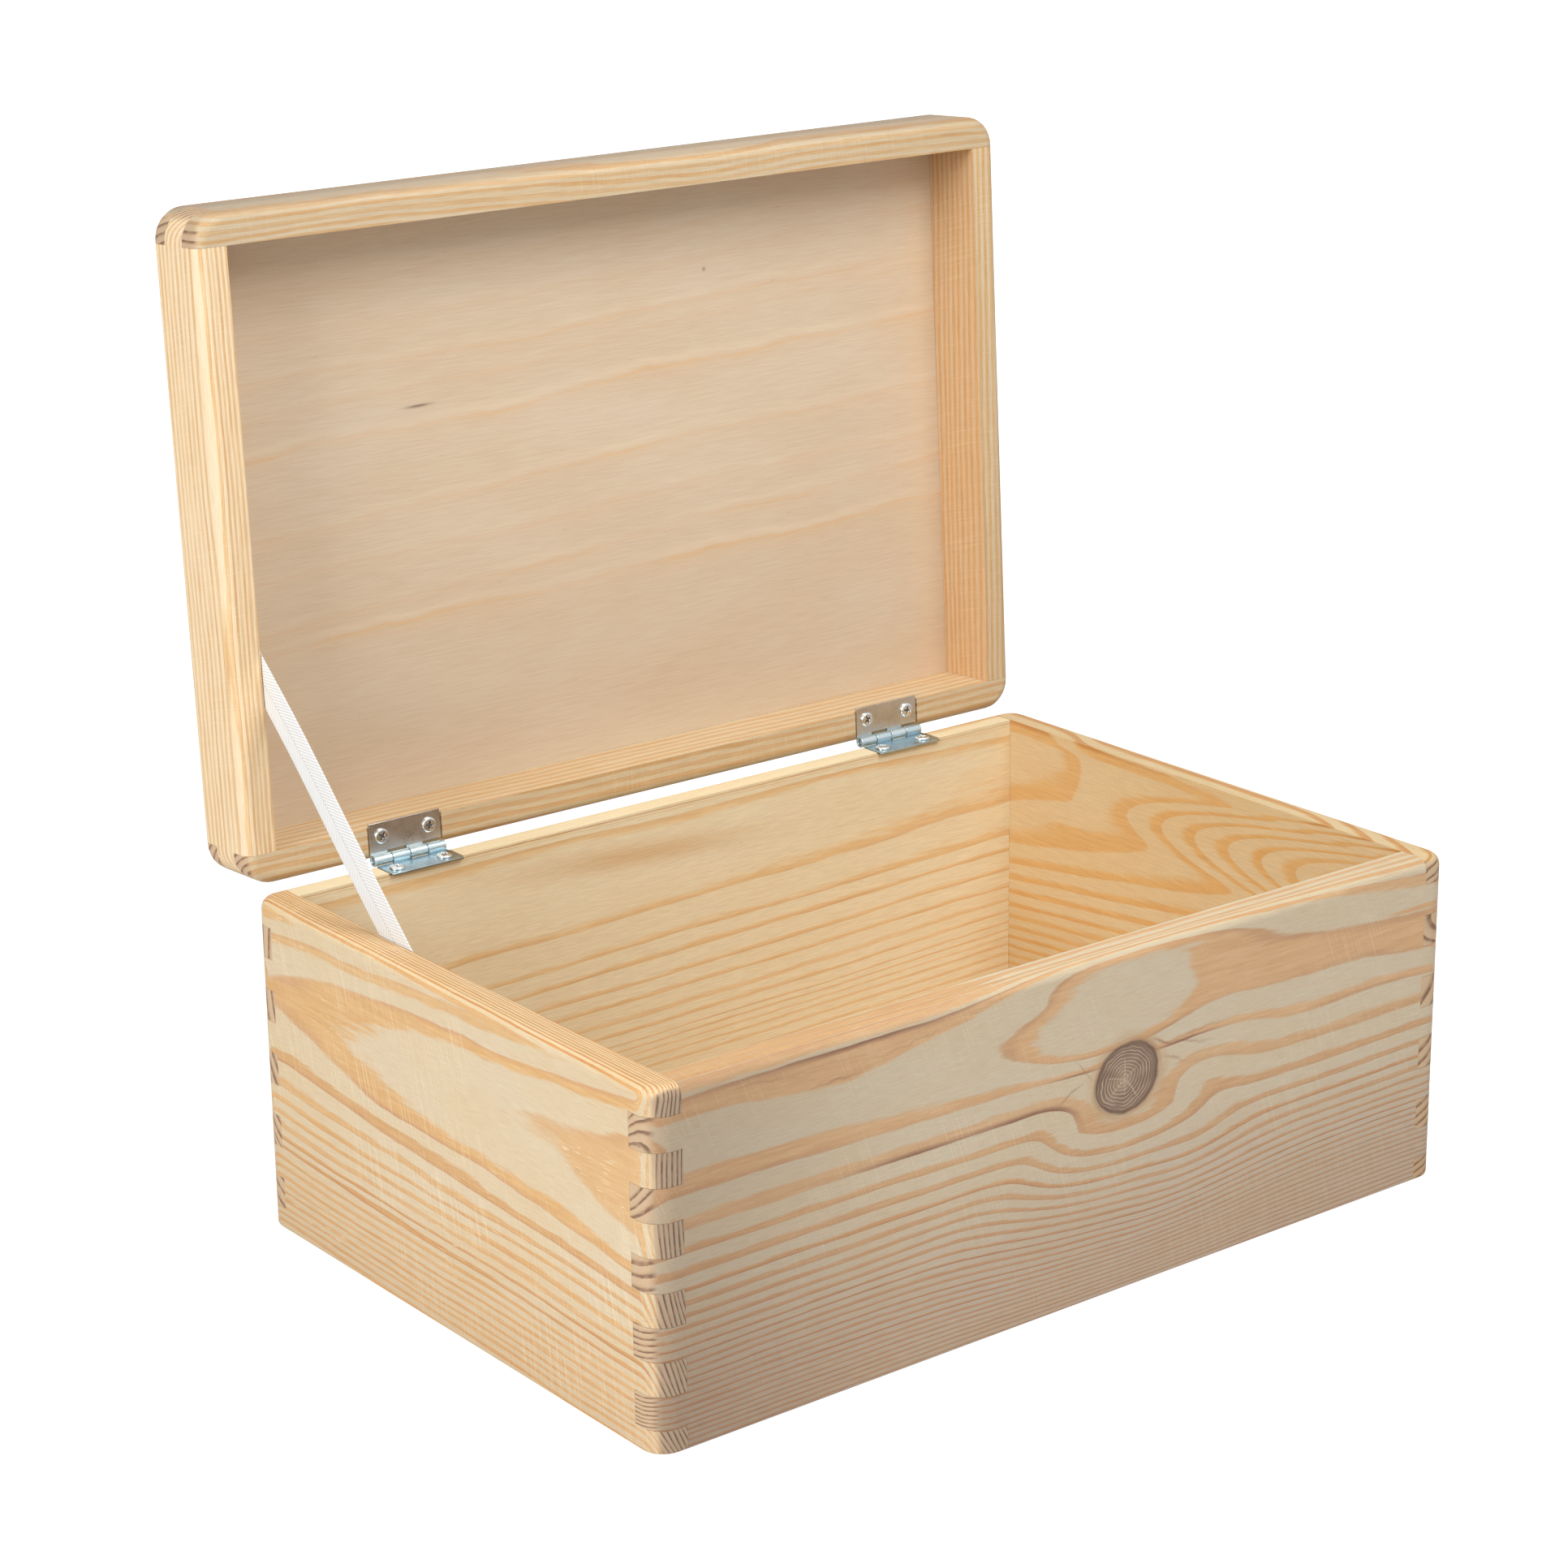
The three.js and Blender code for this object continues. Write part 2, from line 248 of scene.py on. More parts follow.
@shader_group("growth rings", Place=PLACE, Pith_Height=80.0, Pith_Depth=40.0, Face_Radius=40.0,
              Per_mm=0.3, Quickening=0.0, Narrow_Radius=30.0, Narrow_Reach=5.0, Narrow_Count=0.0,
              Start=0.0, Wander=0.8, Fray=0.022, Uneven=0.2, Seed=0.0)
def growth_rings(net, at):
    """Counts growth rings outwards from the pith: the distance to the pith line, counted faster
    the further out it is, and faster again where a run of narrow rings lies."""
    place, seed = at["Place"], at["Seed"]
    along, height, depth = net.split(place)
    sway = net.noise(place, (95.0, 30.0, 30.0), detail=1.0, seed=seed)
    ripple = net.noise(place, (26.0, 8.0, 8.0), detail=1.0, seed=seed)
    up = height - at["Pith Height"]
    deep = depth - at["Pith Depth"]
    radius = (up.squared() + deep.squared()).sqrt() + (sway + ripple * 0.22) * at["Wander"]
    out = radius - at["Face Radius"]
    rings = out * at["Per mm"] + out.squared() * at["Quickening"] + at["Start"]
    narrow = ((radius - at["Narrow Radius"]) / at["Narrow Reach"]).tanh() + 1.0
    rings = rings + narrow * at["Narrow Count"]
    uneven = net.noise((radius / 3.6, seed * 3.1, along / 400.0), detail=1.0)
    fray = net.noise(place, (9.0, 0.8, 0.8), seed=seed)
    return {"Rings": rings + fray * at["Fray"] + uneven * at["Uneven"]}


@shader_group("sander marks", Place=PLACE, Slant=0.2)
def sander_marks(net, at):
    """Hairline scratches: slanting arcs across the grain in loose patches, and short straight
    dashes along it."""
    place = at["Place"]
    along, height, depth = net.split(place)
    bent = along + height * at["Slant"] + height.squared() * 0.0012
    arcs = net.noise((bent / 0.42, height / 26.0, depth / 9.0), roughness=0.7)
    patch = net.noise((along / 38.0, height / 45.0, 5.5), detail=1.0)
    arcs = arcs.ramp(0.12, 0.6) * patch.ramp(-0.35, 0.35)
    dashes = net.noise(place, (7.0, 0.3, 0.3), detail=1.0, seed=3.3)
    patch = net.noise((along / 30.0, height / 24.0, 9.5), detail=0.0)
    return {"Arcs": arcs, "Dashes": dashes.ramp(0.48, 0.66) * patch.ramp(-0.1, 0.4)}


FIBRE_BROWN, DUCT_BROWN = (0.52, 0.35, 0.20), (0.45, 0.24, 0.12)


@shader_group(
    "pine", Rings=0.0, Place=PLACE, End_Grain=0.0, Seed=0.0, Late_Start=0.42, Late_Softness=0.13,
    Yearly=0.13, Flames=0.10, Edge_Strength=0.45, Edge_Everywhere=0.08, Ducts=0.45, Slant=0.2,
    Arcs=0.16, Dashes=0.3, Pale=(0.82, 0.65, 0.425), Pale_Warm=(0.815, 0.615, 0.375),
    Late=(0.80, 0.53, 0.265), Late_Deep=(0.75, 0.455, 0.205), Late_Edge=(0.66, 0.36, 0.15),
    Scratched=(0.92, 0.78, 0.55), End_Pale=(0.60, 0.42, 0.26), End_Late=(0.48, 0.30, 0.17),
    End_Edge=(0.20, 0.10, 0.055), End_Strength=0.95, End_Crowding=1.0)
def pine_look(net, at):
    """Colours growth rings: pale spring wood turns quickly to orange summer wood, which ends in a
    fine darker edge. Fibres, resin ducts and sander marks lie over it, and cut ends are darker."""
    place, seed, end = at["Place"], at["Seed"], at["End Grain"]
    along, height, depth = net.split(place)
    long_grain = 1.0 - end
    part = at["Rings"].fraction()
    year = at["Rings"] - part
    yearly = net.noise((year * 7.31, seed, 3.7), detail=0.0)
    flame = net.noise(place, (13.0, 1.3, 1.3), seed=seed)
    start = yearly * at["Yearly"] + flame * at["Flames"] + at["Late Start"]
    late = part.ramp(start, start + at["Late Softness"]) * part.fall(0.93, 0.995)
    edge = part.ramp(0.80, 0.95) * part.fall(0.955, 0.995)
    cloud = net.noise(place, (60.0, 18.0, 18.0), seed=seed + 4.0)
    streak = net.noise(place, (24.0, 1.4, 1.4), seed=seed + 6.0)
    pale = net.mix(cloud.ramp(-0.6, 0.6), at["Pale"], at["Pale Warm"])
    pale = net.mix(streak.ramp(0.0, 0.7) * 0.14, pale, at["Late"])
    summer = net.mix(streak.ramp(-0.6, 0.5), at["Late"], at["Late Deep"])
    colour = net.mix(late * (yearly * at["Yearly"] * 3.0 + 0.9), pale, summer)
    dark = net.noise(place, (45.0, 9.0, 9.0), detail=1.0, seed=seed + 8.0)
    darker = (dark.ramp(-0.4, 0.5) * at["Edge Strength"] + at["Edge Everywhere"]) * (yearly * 1.6 + 1.0)
    colour = net.mix(edge * darker, colour, at["Late Edge"])
    # fibres, then short resin ducts, run along the board
    fibre = net.noise(place, (7.0, 0.24, 0.24), roughness=0.65)
    colour = net.mix(fibre.ramp(-0.6, 0.6) * 0.19 * long_grain, colour, FIBRE_BROWN, "MULTIPLY")
    duct = net.noise(place, (4.5, 0.28, 0.28), detail=0.0, seed=seed + 9.0)
    duct = duct.ramp(0.6, 0.76) * long_grain
    marks = net.group(sander_marks, Place=place, Slant=at["Slant"])
    colour = net.over(colour, (duct * at["Ducts"], DUCT_BROWN),
                      (marks["Arcs"] * at["Arcs"] * long_grain, at["Scratched"]),
                      (marks["Dashes"] * late * at["Dashes"] * long_grain, at["Scratched"]))
    # cut ends show the summer wood as dark bands, closer than on the faces, with small pores between
    part = (at["Rings"] * at["End Crowding"]).fraction()
    pore = net.noise(place, (0.5, 0.42, 0.42), detail=1.0, seed=seed)
    fade = net.noise(place, (2.0, 3.0, 3.0), detail=1.0)
    dark = part.ramp(0.58, 0.80) * part.fall(0.94, 1.0)
    ends = net.over(
        at["End Pale"], (part.ramp(0.35, 0.8) * part.fall(0.95, 1.0) * 0.8, at["End Late"]),
        (dark * fade.ramp(-0.7, 0.3, 0.35, 0.95), at["End Edge"]),
        (pore.ramp(0.42, 0.6) * part.ramp(0.2, 0.8) * 0.8, at["End Edge"]))
    colour = net.mix(end * at["End Strength"], colour, ends)
    rough = 0.60 - late * 0.08 + fibre * 0.05 + end * 0.12
    relief = fibre * 0.16 * long_grain - duct * 0.5 - marks["Arcs"] * at["Arcs"] * 0.9
    relief = relief - pore.ramp(0.35, 0.6) * end * 0.5 - edge * end * 0.3
    return {"Color": colour, "Roughness": rough, "Relief": relief, "Edge": edge * long_grain,
            "Late": late * long_grain}


CRACKS = (  # in the branch: degrees round it, how far out of its radius
    (-62.0, 0.62), (-95.0, 0.30), (28.0, 0.34), (82.0, 0.50), (150.0, 0.42), (215.0, 0.36))


@shader_group(
    "branch knot", Place=PLACE, Along=0.0, Height=0.0, Half_Long=12.5, Half_High=10.8,
    Dark=(0.175, 0.105, 0.067), Middle=(0.285, 0.185, 0.125), Heart=(0.42, 0.29, 0.19),
    Hoops=(0.62, 0.47, 0.33), Rim=(0.12, 0.06, 0.035))
def branch_knot(net, at):
    """A branch cut across: fine pale rings on dark wood with radial cracks, a dark rim, and a
    collar of orange wood that the grain parts round."""
    along, height, depth = net.split(at["Place"])
    x = (along - at["Along"]) / at["Half Long"]
    y = (height - at["Height"]) / at["Half High"]
    x, y = x + y * 0.12, y - x * 0.16
    rough = net.noise((x * 1.6, y * 1.6, 0.0))
    far = (x.squared() + y.squared()).sqrt() + rough * 0.04
    inside = far.fall(0.95, 1.02)
    rim = (far - 0.97).bell(0.0, 0.075)
    # everything inside is counted from the branch's own middle, a little off the outline's
    right, up = x + 0.1, y + 0.02
    off = (right.squared() + up.squared()).sqrt() + rough * 0.05
    worn = net.noise((x * 2.0, y * 2.0, 4.0), detail=1.0).ramp(-0.7, 0.2, 0.3, 1.0)
    hoop = (off * 64.0 + rough * 2.0).sin().ramp(0.4, 1.0) * off.ramp(0.75, 1.0, 1.0, 0.3) * worn
    cracks = []
    for turn, reach in CRACKS:
        c, t = math.cos(math.radians(turn)), math.sin(math.radians(turn))
        outwards = right * c + up * t
        aside = right * t - up * c + rough * 0.05
        cracks.append(aside.bell(0.0, 0.018) * outwards.ramp(0.0, 0.06)
                      * outwards.fall(reach, reach + 0.2))
    crack = sum(cracks)
    cloud = net.noise((x * 1.6, y * 1.6, 8.0), detail=3.0)
    colour = net.mix(cloud.ramp(-0.9, 0.9), at["Dark"], at["Middle"])
    colour = net.over(colour, (off.ramp(0.0, 0.55, 0.5, 0.0), at["Heart"]), (hoop * 0.7, at["Hoops"]),
                      (crack * 0.5, at["Hoops"]), (rim * 0.75, at["Rim"]))
    collar = far.fall(1.0, 1.42)
    hair = net.noise((x / off, y / off, far * 14.0)).ramp(-0.4, 0.5)
    return {"Color": colour, "Inside": inside, "Rim": rim, "Collar": collar * (hair * 0.5 + 0.5),
            "Relief": hoop * 0.3 - crack * 0.5 - rim * 0.4}


@shader_group(
    "veneer", Place=PLACE, Lines=0.0, Companions=0.0, Seed=0.0, Pale=(0.72, 0.585, 0.43),
    Warm=(0.70, 0.55, 0.387), Silk=(0.80, 0.67, 0.54), Line=(0.74, 0.43, 0.18),
    Companion=(0.83, 0.67, 0.47), Fleck=(0.40, 0.24, 0.14))
def veneer(net, at):
    """Peeled veneer: orange lines and their pale companions, over silky wood with short dark flecks."""
    place, seed = at["Place"], at["Seed"]
    along, across, _ = net.split(place)
    cloud = net.noise((along / 60.0, across / 26.0, 0.0), detail=3.0, seed=seed)
    colour = net.mix(cloud.ramp(-0.7, 0.7), at["Pale"], at["Warm"])
    silk = net.noise(place, (12.0, 0.35, 1.0), detail=3.0, roughness=0.6, seed=seed)
    colour = net.mix(silk.ramp(-0.6, 0.6) * 0.28, colour, at["Silk"], "MULTIPLY")
    colour = net.over(colour, (at["Lines"], at["Line"]), (at["Companions"], at["Companion"]))
    fleck = net.noise(place, (3.2, 0.30, 1.0), detail=0.0, seed=seed + 2.0)
    fleck = fleck.ramp(0.52, 0.74) * cloud.ramp(-0.6, 0.3)
    colour = net.mix(fleck * 0.45, colour, at["Fleck"])
    return {"Color": colour, "Roughness": silk * 0.06 + 0.55, "Relief": silk * 0.5 - fleck}


# ---- materials

HINGE = frame["record"]["behaviour"]["joints"][0]["pos_m"]
LID_OPEN = 93.1  # degrees from closed
RIM = (103.0, 104.5)  # heights over which a body board's face turns into its top edge
HALF_LONG = -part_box("left_board")[0][0] / MM
HALF_WIDE = -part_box("front_board")[0][1] / MM


def in_body(net, kind, body):
    """Millimetres, or the surface's direction, along x, y and z of the body: the lid's are as if
    it were closed, with the hinge axis at y = 0 and z = 0."""
    turned = net.new("ShaderNodeMapping", net.wire("ShaderNodeTexCoord", output=kind),
                     vector_type="TEXTURE")
    if kind == "Object":
        turned.inputs["Scale"].default_value = (MM, MM, MM)
    if body == "lid":
        turned.inputs["Rotation"].default_value = (-math.radians(LID_OPEN), 0, 0)
        if kind == "Object":
            turned.inputs["Location"].default_value = HINGE
    return net.split(Wire(net, turned.outputs[0]))


def new_material(name, shade, metallic=0.0):
    """A material whose shade(net, shader) gives its colour, its roughness, and its relief. Relief
    is too fine for the mesh: a height, a strength, and the millimetres between height 0 and 1."""
    material = bpy.data.materials.new(name)
    material.use_nodes = True
    net = Net(material.node_tree)
    shader = material.node_tree.nodes["Principled BSDF"]
    shader.inputs["Metallic"].default_value = metallic
    colour, roughness, relief = shade(net, shader)
    net.put(shader.inputs["Base Color"], colour)
    net.put(shader.inputs["Roughness"], roughness)
    if relief:
        height, strength, distance = relief
        bump = net.new("ShaderNodeBump")
        for slot, value in (("Height", height), ("Strength", strength), ("Distance", distance * MM)):
            net.put(bump.inputs[slot], value)
        net.put(shader.inputs["Normal"], Wire(net, bump.outputs[0]))
    return material


def front_board_grain(along, height, depth):
    """The front board's rings part round its branch: they sag below it as a flat-bottomed bell
    that widens downwards, come out of the wood as a long loop above it, and lie lower at its
    right. All of that fades into the board's thickness."""
    off = ((along - 18.0) / ((height - 56.0) * -0.75 + 25.0).most(22.0)).squared()
    flat = height.ramp(20.0, 50.0) * 0.5
    shape = (-(off * (1.0 - flat) + off.squared() * flat)).exp()
    sag = (height * 0.26 + 0.6).least((height - 72.0) * -0.8).most(0.0) * shape
    lower = ((along - (height - 49.0) * 1.05 - 50.0) / 13.0).tanh() * 2.75 + 2.75
    lower = lower * height.ramp(0.0, 45.0)
    upper = along.bell(45.0, 25.0) * -3.0 + along.step(115.0, 20.0) * 4.0
    above = height.step(76.0, 2.5)
    near_face = depth.fall(1.0, 5.0)
    moved = height + (sag + (1.0 - above) * lower + above * upper) * near_face
    loop = (along.step(-12.0, 12.0) * -0.42 - along.bell(12.0, 32.0) * 0.62) * height.step(74.0, 3.0)
    rim = along.step(-40.0, 13.0) * height.step(97.0, 3.0) * (along.step(90.0, 15.0) * 0.27 - 0.45)
    broad = along.bell(-85.0, 42.0) * height.bell(90.0, 5.0) * 0.28
    broad = broad - along.bell(-85.0, 50.0) * height.bell(101.0, 4.0) * 0.12
    return moved, (loop + rim + broad) * near_face + depth * height.ramp(80.0, 101.0, 0.05, 0.42)


def front_board_summer(along, height):
    """Where the front board's summer wood starts: early right of the loop, along the left of the
    rim and at the left end, where it fills most of a ring."""
    right = along.ramp(36.0, 62.0) * height.ramp(78.5, 85.0)
    right = right * (height + along.ramp(55.0, 115.0) * 8.0).fall(98.5, 100.5)
    rim = (height + along.bell(-92.0, 24.0) * 4.0 - along.ramp(-75.0, -25.0) * 6.0).ramp(92.5, 100.0)
    rim = along.fall(-45.0, -15.0) * rim
    left = along.fall(-150.0, -30.0) * height.bell(77.0, 4.5)
    return dict(Late_Start=0.56 - right * 0.7 - rim * 0.5 - left * 0.35 - height.ramp(*RIM) * 0.1,
                Edge_Everywhere=height.ramp(40.0, 62.0, 0.42, 0.14))


def left_board_summer(along, height):
    """The left board's summer wood is darker along its rim, and in one ring below the loops."""
    strong = (height + along * 0.07).bell(51.5, 5.5) * 0.8
    strong = strong + (height + along * 0.02).bell(26.0, 3.0) * 0.7
    return dict(Edge_Everywhere=height.ramp(*RIM) * 0.8 + strong + 0.15)


def left_board_grain(along, height, depth):
    """Two long loops that open towards the front, and finer rings towards the inside."""
    return height, (along + 98.0) * -0.0084 - depth * 0.45


def back_board_grain(along, height, depth):
    """One broad ring along the top, broken by a brown stretch left of the middle."""
    more = along * 0.0012 - along.bell(-20.0, 60.0) * height.bell(84.0, 12.0) * 0.3
    more = more - height.step(94.0, 4.0) * 0.35
    more = more + height.step(100.0, 3.0) * along.ramp(40.0, 150.0) * 0.3
    return height - along * 0.015, more + depth * height.step(103.4, 0.8) * 0.2


def right_board_grain(along, height, depth):
    """Loops nested towards the front, over lines that climb that way."""
    past = (height - along * 0.02 - 87.0).squared() * -0.30 + along + 40.0
    nested = (past + (past.squared() + 120.0).sqrt()) * 0.026
    blot = along.bell(-55.0, 15.0) * height.bell(74.0, 3.0) * 0.2
    left = (1.0 - along.step(-60.0, 8.0)) * height.ramp(62.0, 80.0)
    more = nested + blot + (along + 90.0) * (1.0 - height.step(96.0, 8.0)) * 0.016 - left * 0.38
    return height - along * 0.02 - left * 10.0, more + height.step(101.0, 0.8) * 0.5


def straight_grain(slope, wave=0.0, middle=0.0, reach=60.0):
    """Rings that drift slowly along a rail, with one swelling."""
    def grain(along, height, depth):
        return height, along * slope + along.bell(middle, reach) * wave
    return grain


def in_board(side, lid, x, y, z):
    """Along a board, up it, and in from its outer face. The lid's y starts at the hinge axis, the
    body's in the box's middle."""
    if side == "front":
        return x, z, y + (2 * HALF_WIDE if lid else HALF_WIDE)
    if side == "back":
        return x, z, -y + (0.0 if lid else HALF_WIDE)
    return -y, z, (x if side == "left" else -x) + HALF_LONG


def count(pith_height, pith_depth, face_radius, per_mm, seed, **more):
    """The ring count's values: where the pith lies, and the count on the face and per millimetre."""
    return dict(Pith_Height=pith_height, Pith_Depth=pith_depth, Face_Radius=face_radius, Per_mm=per_mm,
                Seed=seed, **more)


def wood(pale, pale_warm, late, late_deep):
    """The spring wood's two colours and the summer wood's two."""
    return dict(Pale=pale, Pale_Warm=pale_warm, Late=late, Late_Deep=late_deep)


# Each board: how its grain is moved, the ring count's values, the pine's look, and tones (share,
# colour) that are multiplied in, some of them painted shade. rim is one more tone, for its top edge:
# painted light and shade on that up-facing edge.
PINE_BOARDS = {
    "front_board": dict(
        grain=front_board_grain, least_rings=0.1,
        rings=count(86.6, 22.5, 32.2, 0.14, 1.0, Quickening=0.00475, Narrow_Radius=20.0,
                    Narrow_Reach=6.0, Narrow_Count=1.75, Start=-0.437, Uneven=0.1),
        summer=front_board_summer, rim_lines=0.35,
        deeper=lambda along, height: height.ramp(55.0, 70.0, 0.35, 0.0),
        # The front board's colours are darker and greyer than the other boards': partly its wood,
        # partly painted shade.
        look=dict(Late_Softness=0.17, Edge_Strength=0.4, Late_Edge=(0.48, 0.26, 0.14), End_Crowding=1.5,
                  Arcs=0.15, Yearly=0.17, **wood((0.63, 0.53, 0.385), (0.625, 0.51, 0.35),
                                                 (0.69, 0.43, 0.222), (0.635, 0.37, 0.178))),
        tones=lambda along, height, depth: (
            # Painted shade, partly also its denser rings: the outer face darker and greyer towards the
            # bottom.
            (height.fall(8.0, 62.0) * depth.fall(1.0, 4.0), (0.79, 0.755, 0.79)),
            # Painted shade: the outer face darker towards its left end.
            (along.fall(-158.0, -50.0) * depth.fall(1.0, 4.0), (0.74, 0.70, 0.68))),
        rim=(1.06, 1.05, 0.98),
    ),
    "left_board": dict(
        grain=left_board_grain,
        rings=count(76.0, 86.0, 86.0, 0.50, 2.0, Quickening=0.003, Uneven=0.45),
        summer=left_board_summer,
        deeper=lambda along, height: (height + along * 0.07).bell(52.0, 6.0) * 0.4
        + (height + along * 0.02).bell(26.5, 3.0) * 0.5,
        look=dict(Slant=0.12, Arcs=0.42, Dashes=0.9, Late_Start=0.5, Yearly=0.2, End_Crowding=0.8,
                  Late_Edge=(0.62, 0.34, 0.17), End_Pale=(0.42, 0.30, 0.20),
                  End_Late=(0.31, 0.195, 0.125), End_Edge=(0.105, 0.052, 0.036),
                  **wood((0.72, 0.59, 0.405), (0.72, 0.565, 0.36),
                         (0.755, 0.47, 0.205), (0.70, 0.405, 0.16))),
        tones=lambda along, height, depth: (
            (height.fall(0.0, 50.0) * depth.fall(1.0, 4.0), (0.95, 0.91, 0.88)),),
        rim=(1.08, 1.04, 0.95),
    ),
    "back_board": dict(
        grain=back_board_grain,
        rings=count(85.0, 54.0, 44.0, 0.26, 3.0, Narrow_Radius=74.0, Narrow_Reach=5.0,
                    Narrow_Count=1.2, Start=0.42),
        look=dict(Arcs=0.05, Dashes=0.1, Late_Start=0.6, Late_Softness=0.25, Edge_Strength=0.3,
                  **wood((0.90, 0.785, 0.545), (0.895, 0.75, 0.495),
                         (0.89, 0.63, 0.325), (0.845, 0.565, 0.26))),
        tones=lambda along, height, depth: (
            (along.bell(-15.0, 42.0) * (height + along * 0.06).bell(90.0, 4.0)
             * depth.ramp(6.0, 9.0) * 0.8, (0.82, 0.62, 0.44)),),
        rim=(0.98, 0.97, 0.94),
    ),
    "right_board": dict(
        grain=right_board_grain,
        rings=count(87.0, 35.0, 25.0, 0.13, 4.0, Quickening=0.0023, Start=0.5, Uneven=0.05, Wander=0.5),
        look=dict(Arcs=0.05, Dashes=0.1, Late_Start=0.46, Late_Softness=0.3, Edge_Strength=0.3,
                  **wood((0.70, 0.54, 0.32), (0.695, 0.515, 0.28),
                         (0.71, 0.425, 0.15), (0.675, 0.375, 0.12))),
        tones=lambda along, height, depth: ((height.fall(0.0, 60.0), (0.90, 0.86, 0.78)),),
        rim=(1.0, 1.0, 0.97),
    ),
    "lid_front_rail": dict(
        grain=straight_grain(0.004, 0.9, 22.0, 40.0),
        rings=count(6.0, 48.0, 48.0, 0.42, 5.0, Start=0.3, Wander=1.6),
        look=wood((0.70, 0.56, 0.38), (0.70, 0.54, 0.34), (0.70, 0.46, 0.23), (0.66, 0.40, 0.18)),
        # Painted shade: the outer face, which is the open lid's top, is darker and greyer, more so
        # towards the panel; the other faces are toned evenly.
        tones=lambda along, height, depth: (
            (height.ramp(9.0, 17.0) * depth.fall(0.5, 3.0), (0.78, 0.80, 0.83)),
            (depth.ramp(0.3, 2.0), (0.89, 0.89, 0.88)),
            (depth.fall(0.3, 2.0), (0.72, 0.705, 0.71))),
    ),
    "lid_back_rail": dict(
        grain=straight_grain(0.004),
        rings=count(-33.0, -52.0, 61.0, 0.43, 6.0, Wander=1.6),
        look=wood((0.71, 0.575, 0.38), (0.70, 0.545, 0.335),
                  (0.685, 0.44, 0.225), (0.64, 0.385, 0.165)),
    ),
    "lid_left_rail": dict(
        grain=straight_grain(0.0),
        rings=count(-25.0, -55.0, 60.0, 0.69, 7.0),
        look=wood((0.90, 0.73, 0.50), (0.90, 0.71, 0.46), (0.86, 0.60, 0.32), (0.75, 0.455, 0.205)),
    ),
    "lid_right_rail": dict(
        grain=straight_grain(0.006),
        rings=count(-40.0, -40.0, 60.0, 0.54, 8.0),
        # These colours are raised as painted light, so that the closing face, which stands in shade,
        # looks lighter.
        look=wood((0.72, 0.565, 0.375), (0.715, 0.54, 0.33), (0.71, 0.45, 0.195), (0.67, 0.395, 0.16)),
        # Painted shade: the inner face is toned back down from those raised colours.
        tones=lambda along, height, depth: (
            (depth.ramp(8.5, 9.8) * height.ramp(0.3, 1.5), (0.92, 0.85, 0.81)),),
    ),
}


# where the front board's summer wood ends nearly black: along, its reach, height, its reach, strength
FRONT_STREAKS = (
    (-62.0, 18.0, 62.5, 2.6, 1.0), (120.0, 14.0, 74.5, 2.6, 0.6), (-80.0, 38.0, 101.5, 3.0, 0.8),
    (-18.0, 22.0, 63.0, 3.5, 0.9), (40.0, 11.0, 73.0, 3.5, 0.9), (-2.0, 9.0, 70.0, 4.0, 0.7))
# where the grain is pressed together beside the branch: middle, height, slope, half length, strength
FRONT_STROKES = (
    (31.5, 73.8, -0.45, 4.5, 0.9), (41.0, 71.5, -0.24, 9.0, 0.6), (36.0, 67.5, -0.45, 4.0, 0.6),
    (44.0, 73.6, 0.06, 11.0, 0.5), (-4.0, 66.2, 0.5, 4.5, 0.8), (1.5, 72.0, -1.1, 2.5, 0.6),
    (-88.0, 93.0, 0.06, 9.0, 0.7), (-112.0, 98.6, -0.08, 12.0, 0.5), (-60.0, 97.0, 0.1, 10.0, 0.4))
STROKE_HALF = 0.42  # millimetres
BRANCH = dict(Along=18.0, Height=66.0)
SUMMER_TONE = (0.80, 0.62, 0.43)  # multiplied into the summer wood where it is deeper
STREAK_BROWN, STROKE_BROWN = (0.27, 0.13, 0.075), (0.33, 0.17, 0.09)
COLLAR_ORANGE, BARK_BROWN = (0.50, 0.29, 0.135), (0.16, 0.085, 0.05)


def front_board_streaks(along, height):
    """Bells along the board and up it, one for each streak."""
    return sum(along.bell(middle, reach) * height.bell(level, high) * strength
               for middle, reach, level, high, strength in FRONT_STREAKS)


def front_board_strokes(net, along, height):
    """Short dark wavy strokes, each a bell across its sloping line and along it."""
    wobble = net.noise((along / 6.0, height / 5.0, 2.0)) * 0.9
    return sum((height - (along - middle) * slope + wobble).bell(level, STROKE_HALF)
               * along.bell(middle, half) * strength
               for middle, level, slope, half, strength in FRONT_STROKES)


def front_board_marks(net, colour, relief, pine, along, height, depth):
    """The front board's own marks: dark streaks, pressed grain, and the branch in its collar."""
    knot = net.group(branch_knot, Place=(along, height, depth), **BRANCH)
    colour = net.over(
        colour,
        (front_board_streaks(along, height) * pine["Edge"] * 1.3, STREAK_BROWN),
        (front_board_strokes(net, along, height) * depth.ramp(0.5, 2.0, 0.8, 0.0), STROKE_BROWN),
        (knot["Collar"] * 0.8, COLLAR_ORANGE),
        (knot["Rim"] * 0.5, BARK_BROWN),
        (knot["Inside"] * depth.fall(2.0, 5.0), knot["Color"]))
    return colour, relief + knot["Relief"]


